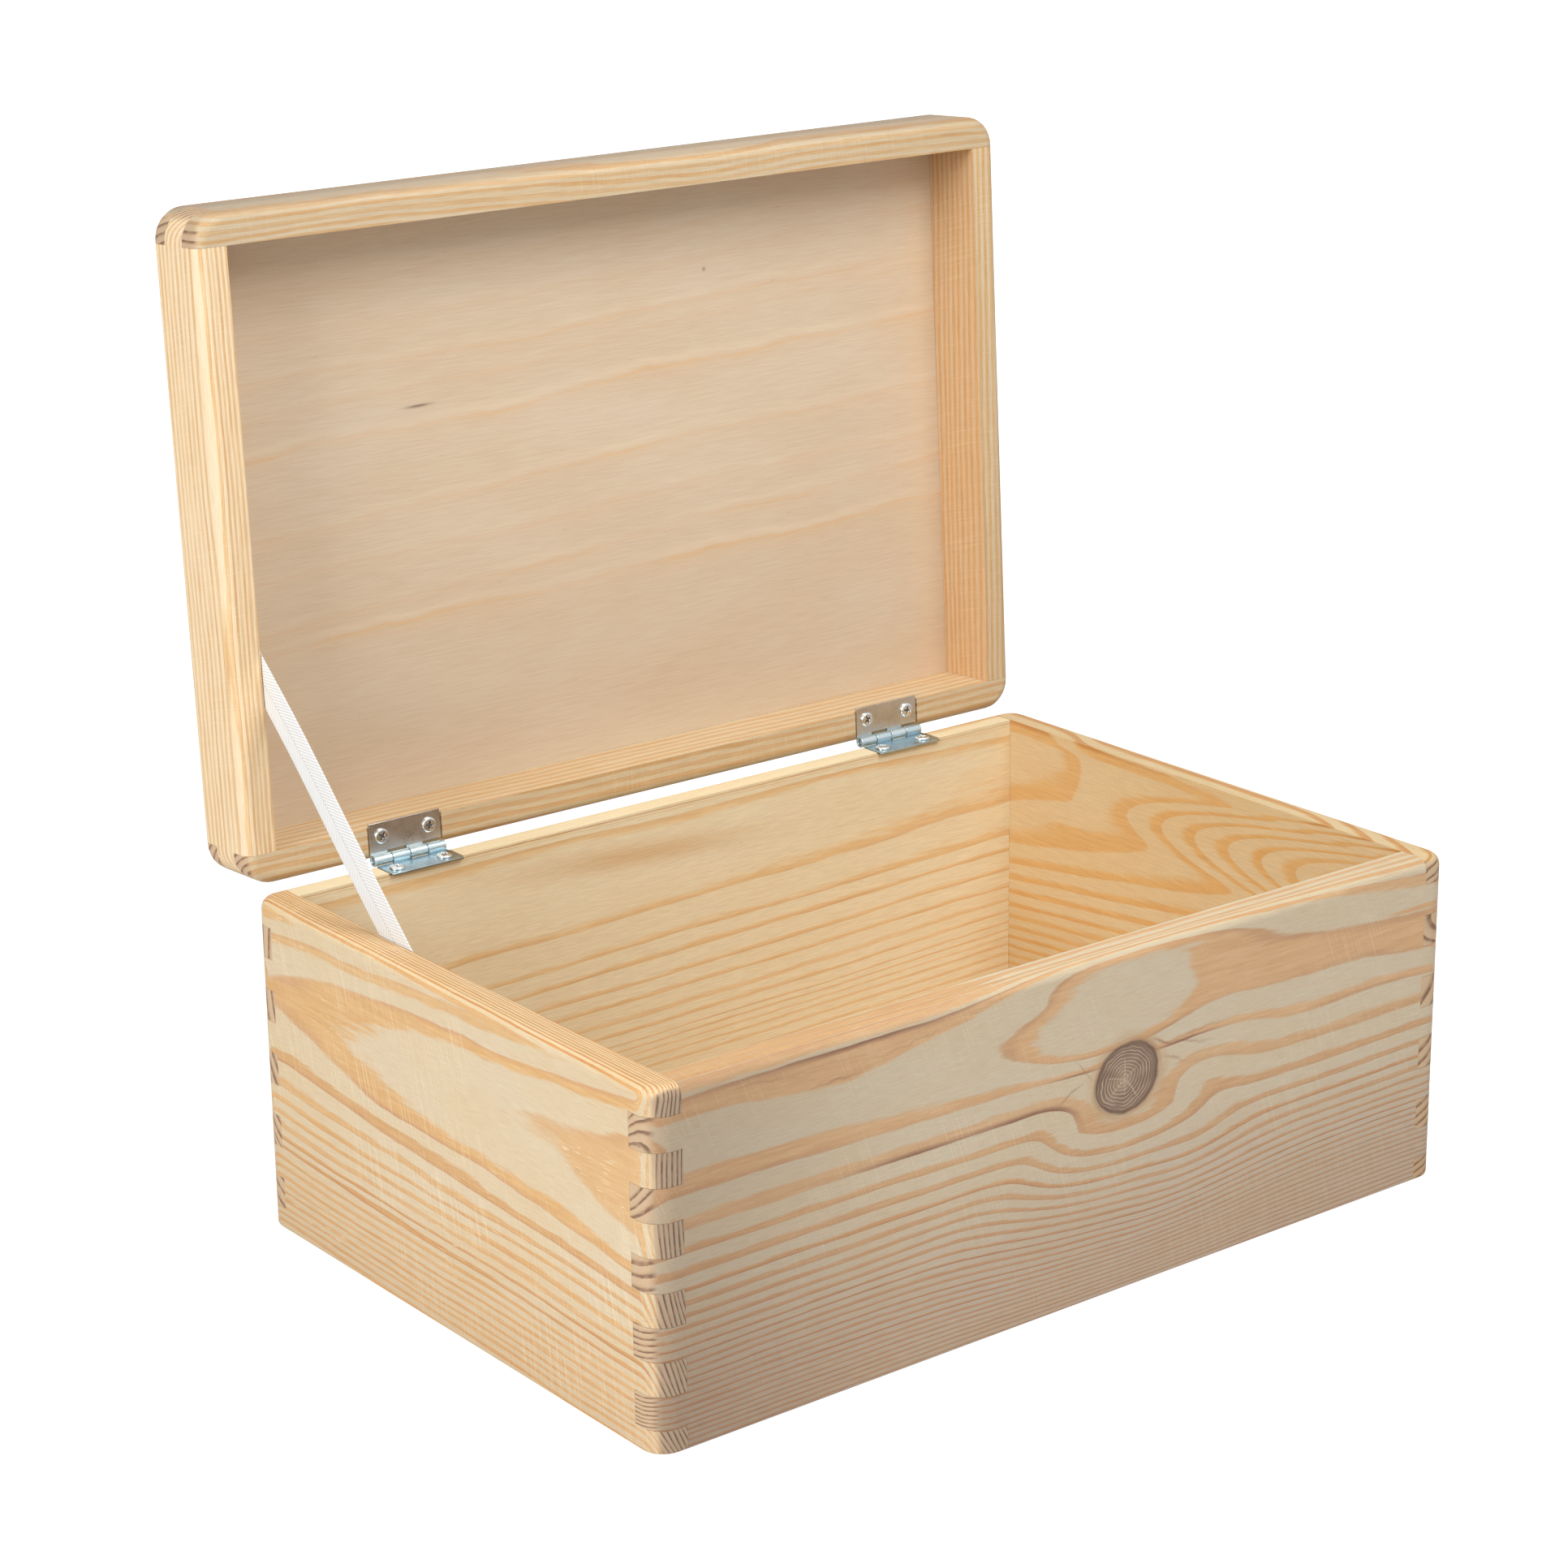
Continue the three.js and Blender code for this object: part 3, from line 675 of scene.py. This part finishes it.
def pine_material(name, board):
    """Solid pine: rings counted in the board's own place, coloured, then toned as its entry says."""
    side, lid = name.split("_")[-2], name.startswith("lid")
    body = "lid" if lid else "box"

    def shade(net, shader):
        x, y, z = in_body(net, "Object", body)
        facing = in_body(net, "Normal", body)[0 if side in ("front", "back") else 1]
        end = facing.absolute().ramp(0.6, 0.85)
        along, height, depth = in_board(side, lid, x, y, z)
        moved, more = board["grain"](along, height, depth)
        rings = net.group(growth_rings, Place=(along, moved, depth), **board["rings"])
        rings = rings["Rings"] + more
        if "least_rings" in board:
            rings = rings.most(board["least_rings"])
        look = dict(board["look"])
        if "summer" in board:
            look.update(board["summer"](along, height))
        pine = net.group(pine_look, Rings=rings, Place=(along, height, depth), End_Grain=end,
                         Seed=board["rings"]["Seed"], **look)
        colour, relief = pine["Color"], pine["Relief"]
        if not lid:
            deeper = height.ramp(*RIM) * board.get("rim_lines", 0.85)
            if "deeper" in board:
                deeper = deeper + board["deeper"](along, height)
            colour = net.mix(deeper * pine["Late"], colour, SUMMER_TONE, "MULTIPLY")
        # Tones multiply in, some of them painted shade; the rim tone is painted light and shade on the
        # up-facing top edge.
        tones = list(board["tones"](along, height, depth)) if "tones" in board else []
        if "rim" in board:
            tones.append((height.ramp(102.0, 104.5), board["rim"]))
        colour = net.over(colour, *tones, blend="MULTIPLY")
        if name == "front_board":
            colour, relief = front_board_marks(net, colour, relief, pine, along, height, depth)
        return colour, pine["Roughness"], (relief, 0.4, 0.12)

    return new_material("pine_" + name, shade)


# lines of a panel's veneer: height at its middle, slope to the right, strength
LID_PANEL_LINES = (
    (175.0, 0.03, 0.25), (163.0, 0.05, 0.25), (149.0, 0.045, 0.5), (142.0, 0.07, 0.35),
    (129.0, 0.05, 0.9), (105.0, 0.052, 1.0), (90.0, 0.04, 0.35), (77.0, 0.06, 0.6), (67.5, 0.03, 1.0))
BOTTOM_PANEL_LINES = tuple(
    (height, 0.03, 0.7) for height in (-70.0, -48.0, -31.0, -9.0, 14.0, 33.0, 58.0, 79.0))
BARK_FLECK = (0.16, 0.10, 0.06)


def veneer_lines(net, x, across, lines, seed):
    """Masks of wavy lines and of a pale companion above each: bells about height + slope * x,
    which share one slow wave and fade along their way."""
    wave = net.noise((x / 70.0, across / 45.0, seed), detail=1.0) * 2.6
    wave = wave + net.noise((x / 16.0, across / 30.0, seed)) * 0.9
    thin, pale = [], []
    for number, (height, slope, strength) in enumerate(lines):
        away = across - x * slope + wave - height
        fade = net.noise((x / 45.0, number * 3.7, seed), detail=1.0).ramp(-0.5, 0.4, 0.35, 1.0)
        line = away.bell(0.0, 0.75) * 0.42 + away.bell(-1.6, 2.6) * 0.14
        thin.append(line * fade * strength)
        pale.append(away.bell(2.2, 1.4) * fade * strength * 0.4)
    return sum(thin), sum(pale)


def lid_panel_flecks(x, across, z):
    """A thin dark dash and a dot of bark, on the panel's inner face only."""
    dash = x.bell(-66.0, 4.5) * (across + x * -0.02).bell(132.5, 0.45)
    dot = x.bell(44.7, 0.6) * across.bell(160.0, 0.7)
    return (dash * 0.85 + dot * 0.6) * z.fall(24.0, 25.0)


def ply_material(name, body, lines, seed):
    """Plywood with peeled veneer outside."""
    def shade(net, shader):
        x, y, z = in_body(net, "Object", body)
        across = y * -1.0
        line, companion = veneer_lines(net, x, across, lines, seed)
        sheet = net.group(veneer, Place=(x, across, z / 4.0), Lines=line, Companions=companion,
                          Seed=seed)
        colour = sheet["Color"]
        if body == "lid":
            colour = net.mix(lid_panel_flecks(x, across, z), colour, BARK_FLECK)
        return colour, sheet["Roughness"], (sheet["Relief"], 0.25, 0.06)

    return new_material(name, shade)


# Painted reflection for the plate's curl round the hinge axis, and painted shade for recesses.
CURL_PAINTED_REFLECTION, RECESS_PAINTED_SHADE = (0.56, 0.66, 0.69), (0.10, 0.09, 0.08)


def zinc_material(name, bright, dull, blue, roughness):
    """Zinc plate: blue and straw tints in slow clouds and a fine grit. Round the hinge axis, where
    the plate is bent round, a brighter blue is painted reflection; where the recess attribute says,
    it is darkened as painted shade."""
    def shade(net, shader):
        place = net.wire("ShaderNodeTexCoord", output="Object")
        _, y, z = net.split(place)
        cloud = net.noise(place, scale=150.0)
        tint = net.noise(place, scale=70.0, detail=1.0, seed=2.0)
        grit = net.noise(place, scale=2600.0)
        from_axis = ((y - HINGE[1]).squared() + (z - HINGE[2]).squared()).sqrt()
        # painted reflection: a brighter blue round the hinge axis
        curl_painted_reflection = from_axis.fall(0.0019, 0.0026)
        colour = net.mix(cloud.ramp(-0.6, 0.6), dull, bright)
        # painted shade: darker, and rougher, in the screw heads' cross recesses
        in_recess = net.wire("ShaderNodeAttribute", attribute_name="recess", output="Fac")
        colour = net.over(colour, (tint.ramp(-0.3, 0.5) * 0.6, blue), (curl_painted_reflection * 0.8, CURL_PAINTED_REFLECTION),
                          (in_recess * 0.85, RECESS_PAINTED_SHADE))
        rough = grit * 0.05 + cloud * 0.04 + in_recess * 0.3 + roughness
        return colour, rough, (grit, 0.2, 0.015)

    return new_material(name, shade, metallic=1.0)


SCALLOP, SCALLOP_DEEP = 1.25, 0.09  # from rib to rib along the tape, and out from its edge
THREAD_ACROSS, THREAD_ALONG = 0.42, 0.36
COTTON, COTTON_PAINTED_SHADE, COTTON_DULL = (0.90, 0.89, 0.875), (0.66, 0.645, 0.625), (0.74, 0.71, 0.67)


def tape_material():
    """Cotton herringbone: slanting ribs mirrored about a middle spine, thread by thread. Its colour
    is darker where the weave is low, as painted shade.
    """
    def shade(net, shader):
        across, along, side = net.split(
            net.wire("ShaderNodeAttribute", attribute_name="weave", output="Vector"))
        rib = (along + across.absolute()).wave(SCALLOP) * 0.5 + 0.5
        thread = across.wave(THREAD_ACROSS) * along.wave(THREAD_ALONG) * 0.5 + 0.5
        spine = across.bell(0.0, 0.22)
        fuzz = net.noise((across * 3.0, along * 3.0, side))
        dirt = net.noise((across * 0.25, along * 0.08, side))
        height = rib * 0.7 + thread * 0.25 - spine * 0.6 + fuzz * 0.12
        # Painted shade: the cotton is darker where the weave is low, most along the middle spine.
        colour = net.over(COTTON_PAINTED_SHADE, (height.ramp(0.05, 0.75), COTTON),
                          (dirt.ramp(-0.2, 0.7) * 0.25, COTTON_DULL))
        return colour, 0.9, (height, 0.7, 0.12)

    return new_material("cotton_tape", shade)


WELD = 0.002
TRUE_CORNER = 32.0  # degrees


def build_soften():
    """Joins loose triangles and smooths across rounded edges, keeping true corners sharp."""
    tree = bpy.data.node_groups.new("soft roundings", "GeometryNodeTree")
    for way in ("INPUT", "OUTPUT"):
        tree.interface.new_socket("Geometry", in_out=way, socket_type="NodeSocketGeometry")
    net = Net(tree)
    sharp = net.wire("FunctionNodeCompare", net.wire("GeometryNodeInputMeshEdgeAngle"),
                     math.radians(TRUE_CORNER), operation="GREATER_THAN")
    forget = net.new("GeometryNodeRemoveAttribute", net.wire("NodeGroupInput"))
    forget.inputs["Name"].default_value = "custom_normal"
    weld = net.wire("GeometryNodeMergeByDistance", Wire(net, forget.outputs[0]), True)
    weld.socket.node.inputs["Distance"].default_value = WELD * MM
    smooth = net.wire("GeometryNodeSetShadeSmooth", weld)
    net.new("NodeGroupOutput", net.wire("GeometryNodeSetShadeSmooth", smooth, sharp, False,
                                        domain="EDGE"))
    return tree


soft_roundings = build_soften()


def soften(piece):
    """Smooth roundings, with the flat faces beside them left flat."""
    piece.modifiers.new("soft roundings", "NODES").node_group = soft_roundings
    weighted = piece.modifiers.new("flat faces stay flat", "WEIGHTED_NORMAL")
    weighted.keep_sharp = True
    weighted.weight = 80


def dress(piece, material):
    """Gives a CAD piece one material in place of its own."""
    piece.data.materials.clear()
    piece.data.materials.append(material)


for name, board in PINE_BOARDS.items():
    dress(frame["nodes"][name], pine_material(name, board))
    soften(frame["nodes"][name])
dress(frame["nodes"]["lid_panel"], ply_material("lid_ply", "lid", LID_PANEL_LINES, 11.0))
dress(frame["nodes"]["bottom_panel"], ply_material("bottom_ply", "box", BOTTOM_PANEL_LINES, 14.0))

# ---- new pieces


def as_points(x, y, z):
    """Points from x, y and z, each a grid or spread over the others' grid."""
    return np.stack(np.broadcast_arrays(x, y, z), -1).reshape(-1, 3)


def new_mesh(name, points, faces, material, sharp_above=None, **marks):
    """A smooth-shaded mesh object from millimetre points. Edges that turn by more than sharp_above
    degrees stay sharp. Each mark is an attribute with a value, or a vector, for every point."""
    mesh = bpy.data.meshes.new(name)
    mesh.from_pydata((points * MM).tolist(), [], faces)
    mesh.polygons.foreach_set("use_smooth", np.ones(len(mesh.polygons), dtype=bool))
    if sharp_above:
        mesh.set_sharp_from_angle(angle=math.radians(sharp_above))
    for title, values in marks.items():
        kind, field = ("FLOAT", "value") if values.ndim == 1 else ("FLOAT_VECTOR", "vector")
        mark = mesh.attributes.new(title, kind, "POINT")
        mark.data.foreach_set(field, values.astype(np.float32).ravel())
    mesh.materials.append(material)
    made = bpy.data.objects.new(name, mesh)
    bpy.context.scene.collection.objects.link(made)
    return made


def zinc_piece(node, form, body, points, faces, material, sharp_above, **marks):
    """A plated piece that rides on a body in place of its CAD node."""
    piece = new_mesh(f"{node}_{form}", points, faces, material, sharp_above, **marks)
    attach(piece, body)
    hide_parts(node)
    return piece


AXIS = np.array(HINGE) / MM


def opened(points):
    """Points of the closed lid, turned back about the hinge axis to where the lid stands."""
    turn = -math.radians(LID_OPEN)
    y, z = points[:, 1] - AXIS[1], points[:, 2] - AXIS[2]
    return as_points(points[:, 0], AXIS[1] + y * math.cos(turn) - z * math.sin(turn),
                     AXIS[2] + y * math.sin(turn) + z * math.cos(turn))


LEAF_THICK = 0.7
LEAF_FAR = 11.3  # from the axis to the free edge
LEAF_STOPS = (0.0, 0.3, 3.0, 6.0, 8.2, 9.1, LEAF_FAR)  # across the flat part, from the free edge
PLAIN_STOPS = 5  # as many of them lie outside the knuckles
BARREL = 1.4  # from the axis to the middle of the curled plate
CURL, CURL_STEPS = 318, 34  # degrees
KNUCKLE, KNUCKLES = 6.35, 4
HALF_GAP, NEAR_GAP = 0.16, 0.8  # to both sides of a cut between knuckles
HINGE_WIDE = KNUCKLE * KNUCKLES


def leaf_mesh(middle, own, side):
    """A leaf bent from one plate. Its middle surface is a function of x and of the distance along
    a path: flat from the free edge to beside the axis, then round it for most of a turn. The
    plate is cut away where the other leaf's knuckles are. side is -1 below the axis and 1 above."""
    flat = np.array(LEAF_STOPS)
    around = np.radians(np.linspace(0, CURL, CURL_STEPS)[1:])
    y = np.concatenate([AXIS[1] - LEAF_FAR + flat, AXIS[1] + BARREL * np.sin(around)])
    z = AXIS[2] + side * BARREL * np.concatenate([np.ones(flat.size), np.cos(around)])
    slope_y, slope_z = np.gradient(y), np.gradient(z)
    slope_y[: flat.size - 1], slope_z[: flat.size - 1] = 1.0, 0.0
    length = np.hypot(slope_y, slope_z)
    up_y, up_z = -slope_z / length, slope_y / length
    cuts = middle - HINGE_WIDE / 2 + np.arange(KNUCKLES + 1) * KNUCKLE
    inner = cuts[1:-1]
    x = np.unique(np.concatenate([cuts[[0, -1]], inner - HALF_GAP, inner + HALF_GAP,
                                  inner - NEAR_GAP, inner + NEAR_GAP]))
    between = (x[:-1] + x[1:]) / 2
    index = np.floor((between - cuts[0]) / KNUCKLE).astype(int)
    gap = np.abs(between[:, None] - inner).min(axis=1) < HALF_GAP
    present = np.ones((x.size - 1, y.size - 1), dtype=bool)
    present[~np.isin(index, own) | gap, PLAIN_STOPS:] = False
    points = np.concatenate([
        as_points(x[:, None], y + s * up_y * LEAF_THICK / 2, z + s * up_z * LEAF_THICK / 2)
        for s in (1, -1)])
    below = x.size * y.size
    number = np.arange(below).reshape(x.size, y.size)
    a, b, c, d = number[:-1, :-1], number[1:, :-1], number[1:, 1:], number[:-1, 1:]
    faces = [np.stack([a, b, c, d], -1)[present], np.stack([d, c, b, a], -1)[present] + below]
    padded = np.pad(present, 1)
    for (first, second), neighbour in (((b, a), padded[1:-1, :-2]), ((c, b), padded[2:, 1:-1]),
                                       ((d, c), padded[1:-1, 2:]), ((a, d), padded[:-2, 1:-1])):
        bare = present & ~neighbour
        faces.append(np.stack([first, second, second + below, first + below], -1)[bare])
    faces = np.concatenate(faces)
    used, renumbered = np.unique(faces, return_inverse=True)
    return points[used], renumbered.reshape(faces.shape).tolist()


def turned_piece(node, form, body, profile, sides, seat, material, closed=False, press=None):
    """A profile (along, radius) spun about the z axis, closed in a point at both ends and set on
    its seat. press(points) may first sink a form into it, and says how deep each point went. A
    seat on the closed lid is opened with it."""
    along, radius = profile
    angle = np.arange(sides) * 2 * math.pi / sides
    ring = as_points(radius[1:-1, None] * np.cos(angle), radius[1:-1, None] * np.sin(angle),
                     along[1:-1, None])
    points = np.concatenate([ring, [[0, 0, along[0]], [0, 0, along[-1]]]])
    sunk = press(points) if press else np.zeros(len(points))
    number = np.arange(len(ring)).reshape(-1, sides)
    after = np.roll(number, -1, axis=1)
    faces = np.stack([number[:-1], number[1:], after[1:], after[:-1]], -1).reshape(-1, 4).tolist()
    top, bottom = np.full(sides, len(ring)), np.full(sides, len(ring) + 1)
    faces += np.stack([top, number[0], after[0]], -1).tolist()
    faces += np.stack([number[-1], bottom, after[-1]], -1).tolist()
    points = points @ np.array(seat.to_3x3()).T + np.array(seat.translation)
    if closed:
        points = opened(points)
    return zinc_piece(node, form, body, points, faces, material, CUT_EDGE, recess=sunk)


HEAD_RADIUS, HEAD_HIGH = 2.4, 0.8
DOME_RADIUS, DOME_DROP = 1.9, 0.10  # where the dome turns down, and how far it has sunk there
RIM_LOW = 0.12
SHANK, SHANK_BARE, SCREW_LONG = 1.1, 0.6, 8.0  # the shank's first stretch has no thread
THREAD = 0.10  # of the shank's radius
POINT = 3.4  # how blunt the shank's point is
CROSS_SLOPES = 0.08, 0.25, 0.2  # of the bars' sides, of their ends, and of the heart's side
CROSS_HALF, CROSS_REACH, CROSS_HEART, CROSS_DEEP = 0.34, 1.4, 0.70, 0.7


def screw_profile():
    """Pan head from its middle outwards and under, then the shank to its point. The head's top is
    a low dome that turns down in a quarter round at the rim."""
    out = np.concatenate([np.linspace(0, 1.5, 21), np.linspace(1.6, DOME_RADIUS, 4)])
    dome = HEAD_HIGH - DOME_DROP * (out / DOME_RADIUS) ** 2
    bend = np.radians(np.linspace(15, 90, 7))
    rim_r = DOME_RADIUS + (HEAD_RADIUS - DOME_RADIUS) * np.sin(bend)
    rim_z = RIM_LOW + (HEAD_HIGH - DOME_DROP - RIM_LOW) * np.cos(bend)
    under_r = np.array([HEAD_RADIUS - 0.04, SHANK, SHANK])
    under_z = np.array([0.0, 0.0, -SHANK_BARE])
    down = np.linspace(0, 1, 40)[1:]
    crests = 1 - THREAD * (np.arange(down.size) % 4 > 1)
    radius = np.concatenate([out, rim_r, under_r, np.minimum(SHANK, (1 - down) * POINT) * crests])
    along = np.concatenate([dome, rim_z, under_z, -SHANK_BARE - down * (SCREW_LONG - SHANK_BARE)])
    radius[-1] = 0.0
    return along, radius


def cross_recess(turn):
    """Presses a cross into the head: deepest where both bars meet, with sloping sides."""
    def press(points):
        x = points[:, 0] * math.cos(turn) + points[:, 1] * math.sin(turn)
        y = points[:, 1] * math.cos(turn) - points[:, 0] * math.sin(turn)
        near, far = np.minimum(abs(x), abs(y)), np.maximum(abs(x), abs(y))
        inside = (CROSS_HALF - near, CROSS_REACH - far, CROSS_HEART - np.hypot(x, y))
        bar, end, heart = (np.clip(i / slope, 0, 1) for i, slope in zip(inside, CROSS_SLOPES))
        depth = np.where(points[:, 2] > HEAD_HIGH / 2, np.maximum(bar * end, heart), 0)
        points[:, 2] -= CROSS_DEEP * depth
        return depth
    return press


WORN = 0.09
BENT_EDGE, CUT_EDGE = 30, 50  # degrees from which an edge is sharp: a bent plate's, a cut one's


def worn_edges(piece):
    """Bevels the cut edges of a plate."""
    bevel = piece.modifiers.new("worn edges", "BEVEL")
    bevel.width = WORN * MM
    bevel.segments = 2
    bevel.limit_method = "ANGLE"
    bevel.angle_limit = math.radians(CUT_EDGE)


# Both leaves are the same zinc, given two colours as painted reflection: warm grey on the lid's leaf
# and blue on the box's.
leaf_zinc_painted_reflection = {
    "lid": zinc_material("zinc_lid_leaf", (0.60, 0.585, 0.55), (0.50, 0.485, 0.45),
                         (0.55, 0.57, 0.56), 0.30),
    "box": zinc_material("zinc_box_leaf", (0.52, 0.64, 0.70), (0.34, 0.44, 0.50),
                         (0.40, 0.56, 0.66), 0.24),
}
# The pin's dark colours are painted shade, for the gaps between the knuckles where it shows.
zinc_pin = zinc_material("zinc_pin", (0.14, 0.14, 0.13), (0.09, 0.09, 0.085), (0.11, 0.12, 0.13), 0.45)
zinc_screw = zinc_material("zinc_screws", (0.80, 0.80, 0.77), (0.66, 0.66, 0.63),
                           (0.68, 0.73, 0.75), 0.22)

HINGE_PLACES = (("left", -95.0), ("right", 95.0))
SCREW_PLACES = ((1, -8.5), (2, 8.5))  # along the hinge from its middle
SCREW_BACK = 7.0  # from the axis
SCREW_SEAT = 1.0  # the leaf's face, from the axis
SCREW_SIDES, PIN_SIDES = 96, 32
ON_ITS_SIDE = Matrix.Rotation(math.pi / 2, 4, "Y")
PIN_HALF = HINGE_WIDE / 2 - 0.5
PIN_PROFILE = (np.array([PIN_HALF, PIN_HALF - 0.02, PIN_HALF - 0.12, PIN_HALF - 0.4,
                         -PIN_HALF + 0.4, -PIN_HALF + 0.12, -PIN_HALF + 0.02, -PIN_HALF]),
               np.array([0.0, 0.5, 0.8, 0.95, 0.95, 0.8, 0.5, 0.0]))

random = np.random.default_rng(7)
screw = screw_profile()
for end_name, middle in HINGE_PLACES:
    for body, own, side in (("lid", (0, 2), 1), ("box", (1, 3), -1)):
        points, faces = leaf_mesh(middle, own, side)
        if body == "lid":
            points = opened(points)
        worn_edges(zinc_piece(f"{end_name}_hinge_{body}_leaf", "bent", body, points, faces,
                              leaf_zinc_painted_reflection[body], BENT_EDGE))
        upright = Matrix.Rotation(math.pi if body == "lid" else 0.0, 4, "X")
        for number, across in SCREW_PLACES:
            seat = Matrix.Translation((middle + across, AXIS[1] - SCREW_BACK,
                                       AXIS[2] + side * SCREW_SEAT))
            turned_piece(f"{end_name}_hinge_{body}_screw_{number}", "crossed", body, screw, SCREW_SIDES,
                         seat @ upright, zinc_screw, body == "lid",
                         cross_recess(random.uniform(0, math.pi / 2)))
    turned_piece(f"{end_name}_hinge_pin", "domed", "box", PIN_PROFILE, PIN_SIDES,
                 Matrix.Translation((middle, AXIS[1], AXIS[2])) @ ON_ITS_SIDE, zinc_pin)

TAPE_WIDE, TAPE_THICK = 12.0, 0.8
TAPE_LOW, TAPE_HIGH = np.array([17.3, 86.0]), np.array([113.82, 175.40])  # its screws' y and z
TAPE_END = 6.0  # past each screw
TAPE_X, TAPE_SCREW_X = -139.3, -138.85
TAPE_BOW = 0.9
TAPE_ROWS, TAPE_SIDES = 420, 48


def make_tape():
    """A taut tape: a flat oval section carried along a straight path that bows a little near its
    top, with small scallops along both woven edges."""
    span = TAPE_HIGH - TAPE_LOW
    straight = np.hypot(*span)
    forward = span / straight
    sideways = np.array([-forward[1], forward[0]])
    along = np.linspace(-TAPE_END, straight + TAPE_END, TAPE_ROWS)
    share = np.clip(along / straight, 0, 1)
    bow = TAPE_BOW * np.sin(math.pi * share ** 2.2) ** 2
    angle = np.linspace(0, 2 * math.pi, TAPE_SIDES, endpoint=False)
    flat, thick = (np.sign(part) * np.abs(part) ** power
                   for part, power in ((np.cos(angle), 0.35), (np.sin(angle), 0.6)))
    scallop = SCALLOP_DEEP * np.sin(2 * math.pi * along / SCALLOP)[:, None] * np.abs(flat) ** 6
    across = flat * (TAPE_WIDE / 2 - 0.1) + np.sign(flat) * scallop
    lift = thick * TAPE_THICK / 2
    middle = TAPE_LOW + along[:, None] * forward + bow[:, None] * sideways
    points = as_points(TAPE_X + lift, middle[:, None, 0] + across * sideways[0],
                       middle[:, None, 1] + across * sideways[1])
    number = np.arange(across.size).reshape(across.shape)
    after = np.roll(number, -1, axis=1)
    faces = np.stack([number[:-1], after[:-1], after[1:], number[1:]], -1).reshape(-1, 4).tolist()
    faces += [number[0, ::-1].tolist(), number[-1].tolist()]
    tape = new_mesh("strap_tape", points, faces, tape_material(),
                    weave=as_points(across, along[:, None], thick))
    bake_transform(tape)
    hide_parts("strap")


make_tape()
for body, (y, z) in (("box", TAPE_LOW), ("lid", TAPE_HIGH)):
    seat = Matrix.Translation((TAPE_SCREW_X, y, z)) @ ON_ITS_SIDE
    turned_piece(f"strap_{body}_screw", "crossed", body, screw, SCREW_SIDES, seat, zinc_screw,
                 press=cross_recess(0.5))

# ---- floor and light

WHITE, FLOOR_GREY, SKY = (1.0, 1.0, 1.0), (0.82, 0.82, 0.82), (0.93, 0.97, 1.0)
FLOOR_HALF = 6000.0
NEAR_GLOW = 0.6  # how white the floor is by itself under the box; it is all white further off
GLOW_NEAR, GLOW_FAR = 0.25, 1.3  # metres from the box


def make_floor():
    """A wide pale floor: far off it glows white, and near the box it takes the box's shadow."""
    def shade(net, shader):
        place = net.wire("ShaderNodeTexCoord", output="Object")
        away = net.wire("ShaderNodeVectorMath", place, operation="LENGTH", output="Value")
        white = away.ramp(GLOW_NEAR, GLOW_FAR, NEAR_GLOW, 1.0)
        seen = net.wire("ShaderNodeLightPath", output="Is Camera Ray")
        net.put(shader.inputs["Emission Color"], WHITE)
        net.put(shader.inputs["Emission Strength"], seen * white)
        return FLOOR_GREY, 0.8, None

    corners = FLOOR_HALF * np.array([(-1, -1, 0), (1, -1, 0), (1, 1, 0), (-1, 1, 0)])
    new_mesh("floor", corners, [(0, 1, 2, 3)], new_material("floor", shade))


def make_world(strength):
    """Even light from all round, and plain white where it is seen, mirrored or looked at through
    something clear."""
    world = bpy.data.worlds.new("studio")
    bpy.context.scene.world = world
    world.use_nodes = True
    net = Net(world.node_tree)
    plain = world.node_tree.nodes["Background"]
    net.put(plain.inputs["Color"], SKY)
    net.put(plain.inputs["Strength"], strength)
    camera, glossy, through = (net.wire("ShaderNodeLightPath", output=f"Is {ray} Ray")
                               for ray in ("Camera", "Glossy", "Transmission"))
    white = net.wire("ShaderNodeBackground", WHITE)
    light = net.wire("ShaderNodeMixShader", camera.most(glossy).most(through),
                     Wire(net, plain.outputs[0]), white)
    net.put(world.node_tree.nodes["World Output"].inputs[0], light)


def make_lamp(name, place, power, size, target, spread=180.0):
    """A square white lamp, unseen itself, that looks from its place to its target (metres)."""
    lamp = bpy.data.lights.new(name, "AREA")
    lamp.spread = math.radians(spread)
    lamp.energy = power
    lamp.size = size
    lit = bpy.data.objects.new(name, lamp)
    lit.location = place
    aim = Vector(target) - Vector(place)
    lit.rotation_euler = aim.to_track_quat("-Z", "Y").to_euler()
    lit.visible_camera = False
    bpy.context.scene.collection.objects.link(lit)


WORLD, KEY, FRONT, OPENING = 0.32, 22.0, 4.4, 0.15
MID_BOX = (0.0, 0.0, 0.1)
make_floor()
make_world(WORLD)
make_lamp("key", (-1.7, -0.35, 0.88), KEY, 0.9, MID_BOX)
make_lamp("front", (0.1, -0.5, 0.85), FRONT, 0.5, MID_BOX)
make_lamp("opening", (0.0, -0.04, 0.60), OPENING, 0.2, (0.0, 0.0, 0.0), spread=90.0)

bpy.context.scene.view_settings.view_transform = "Standard"
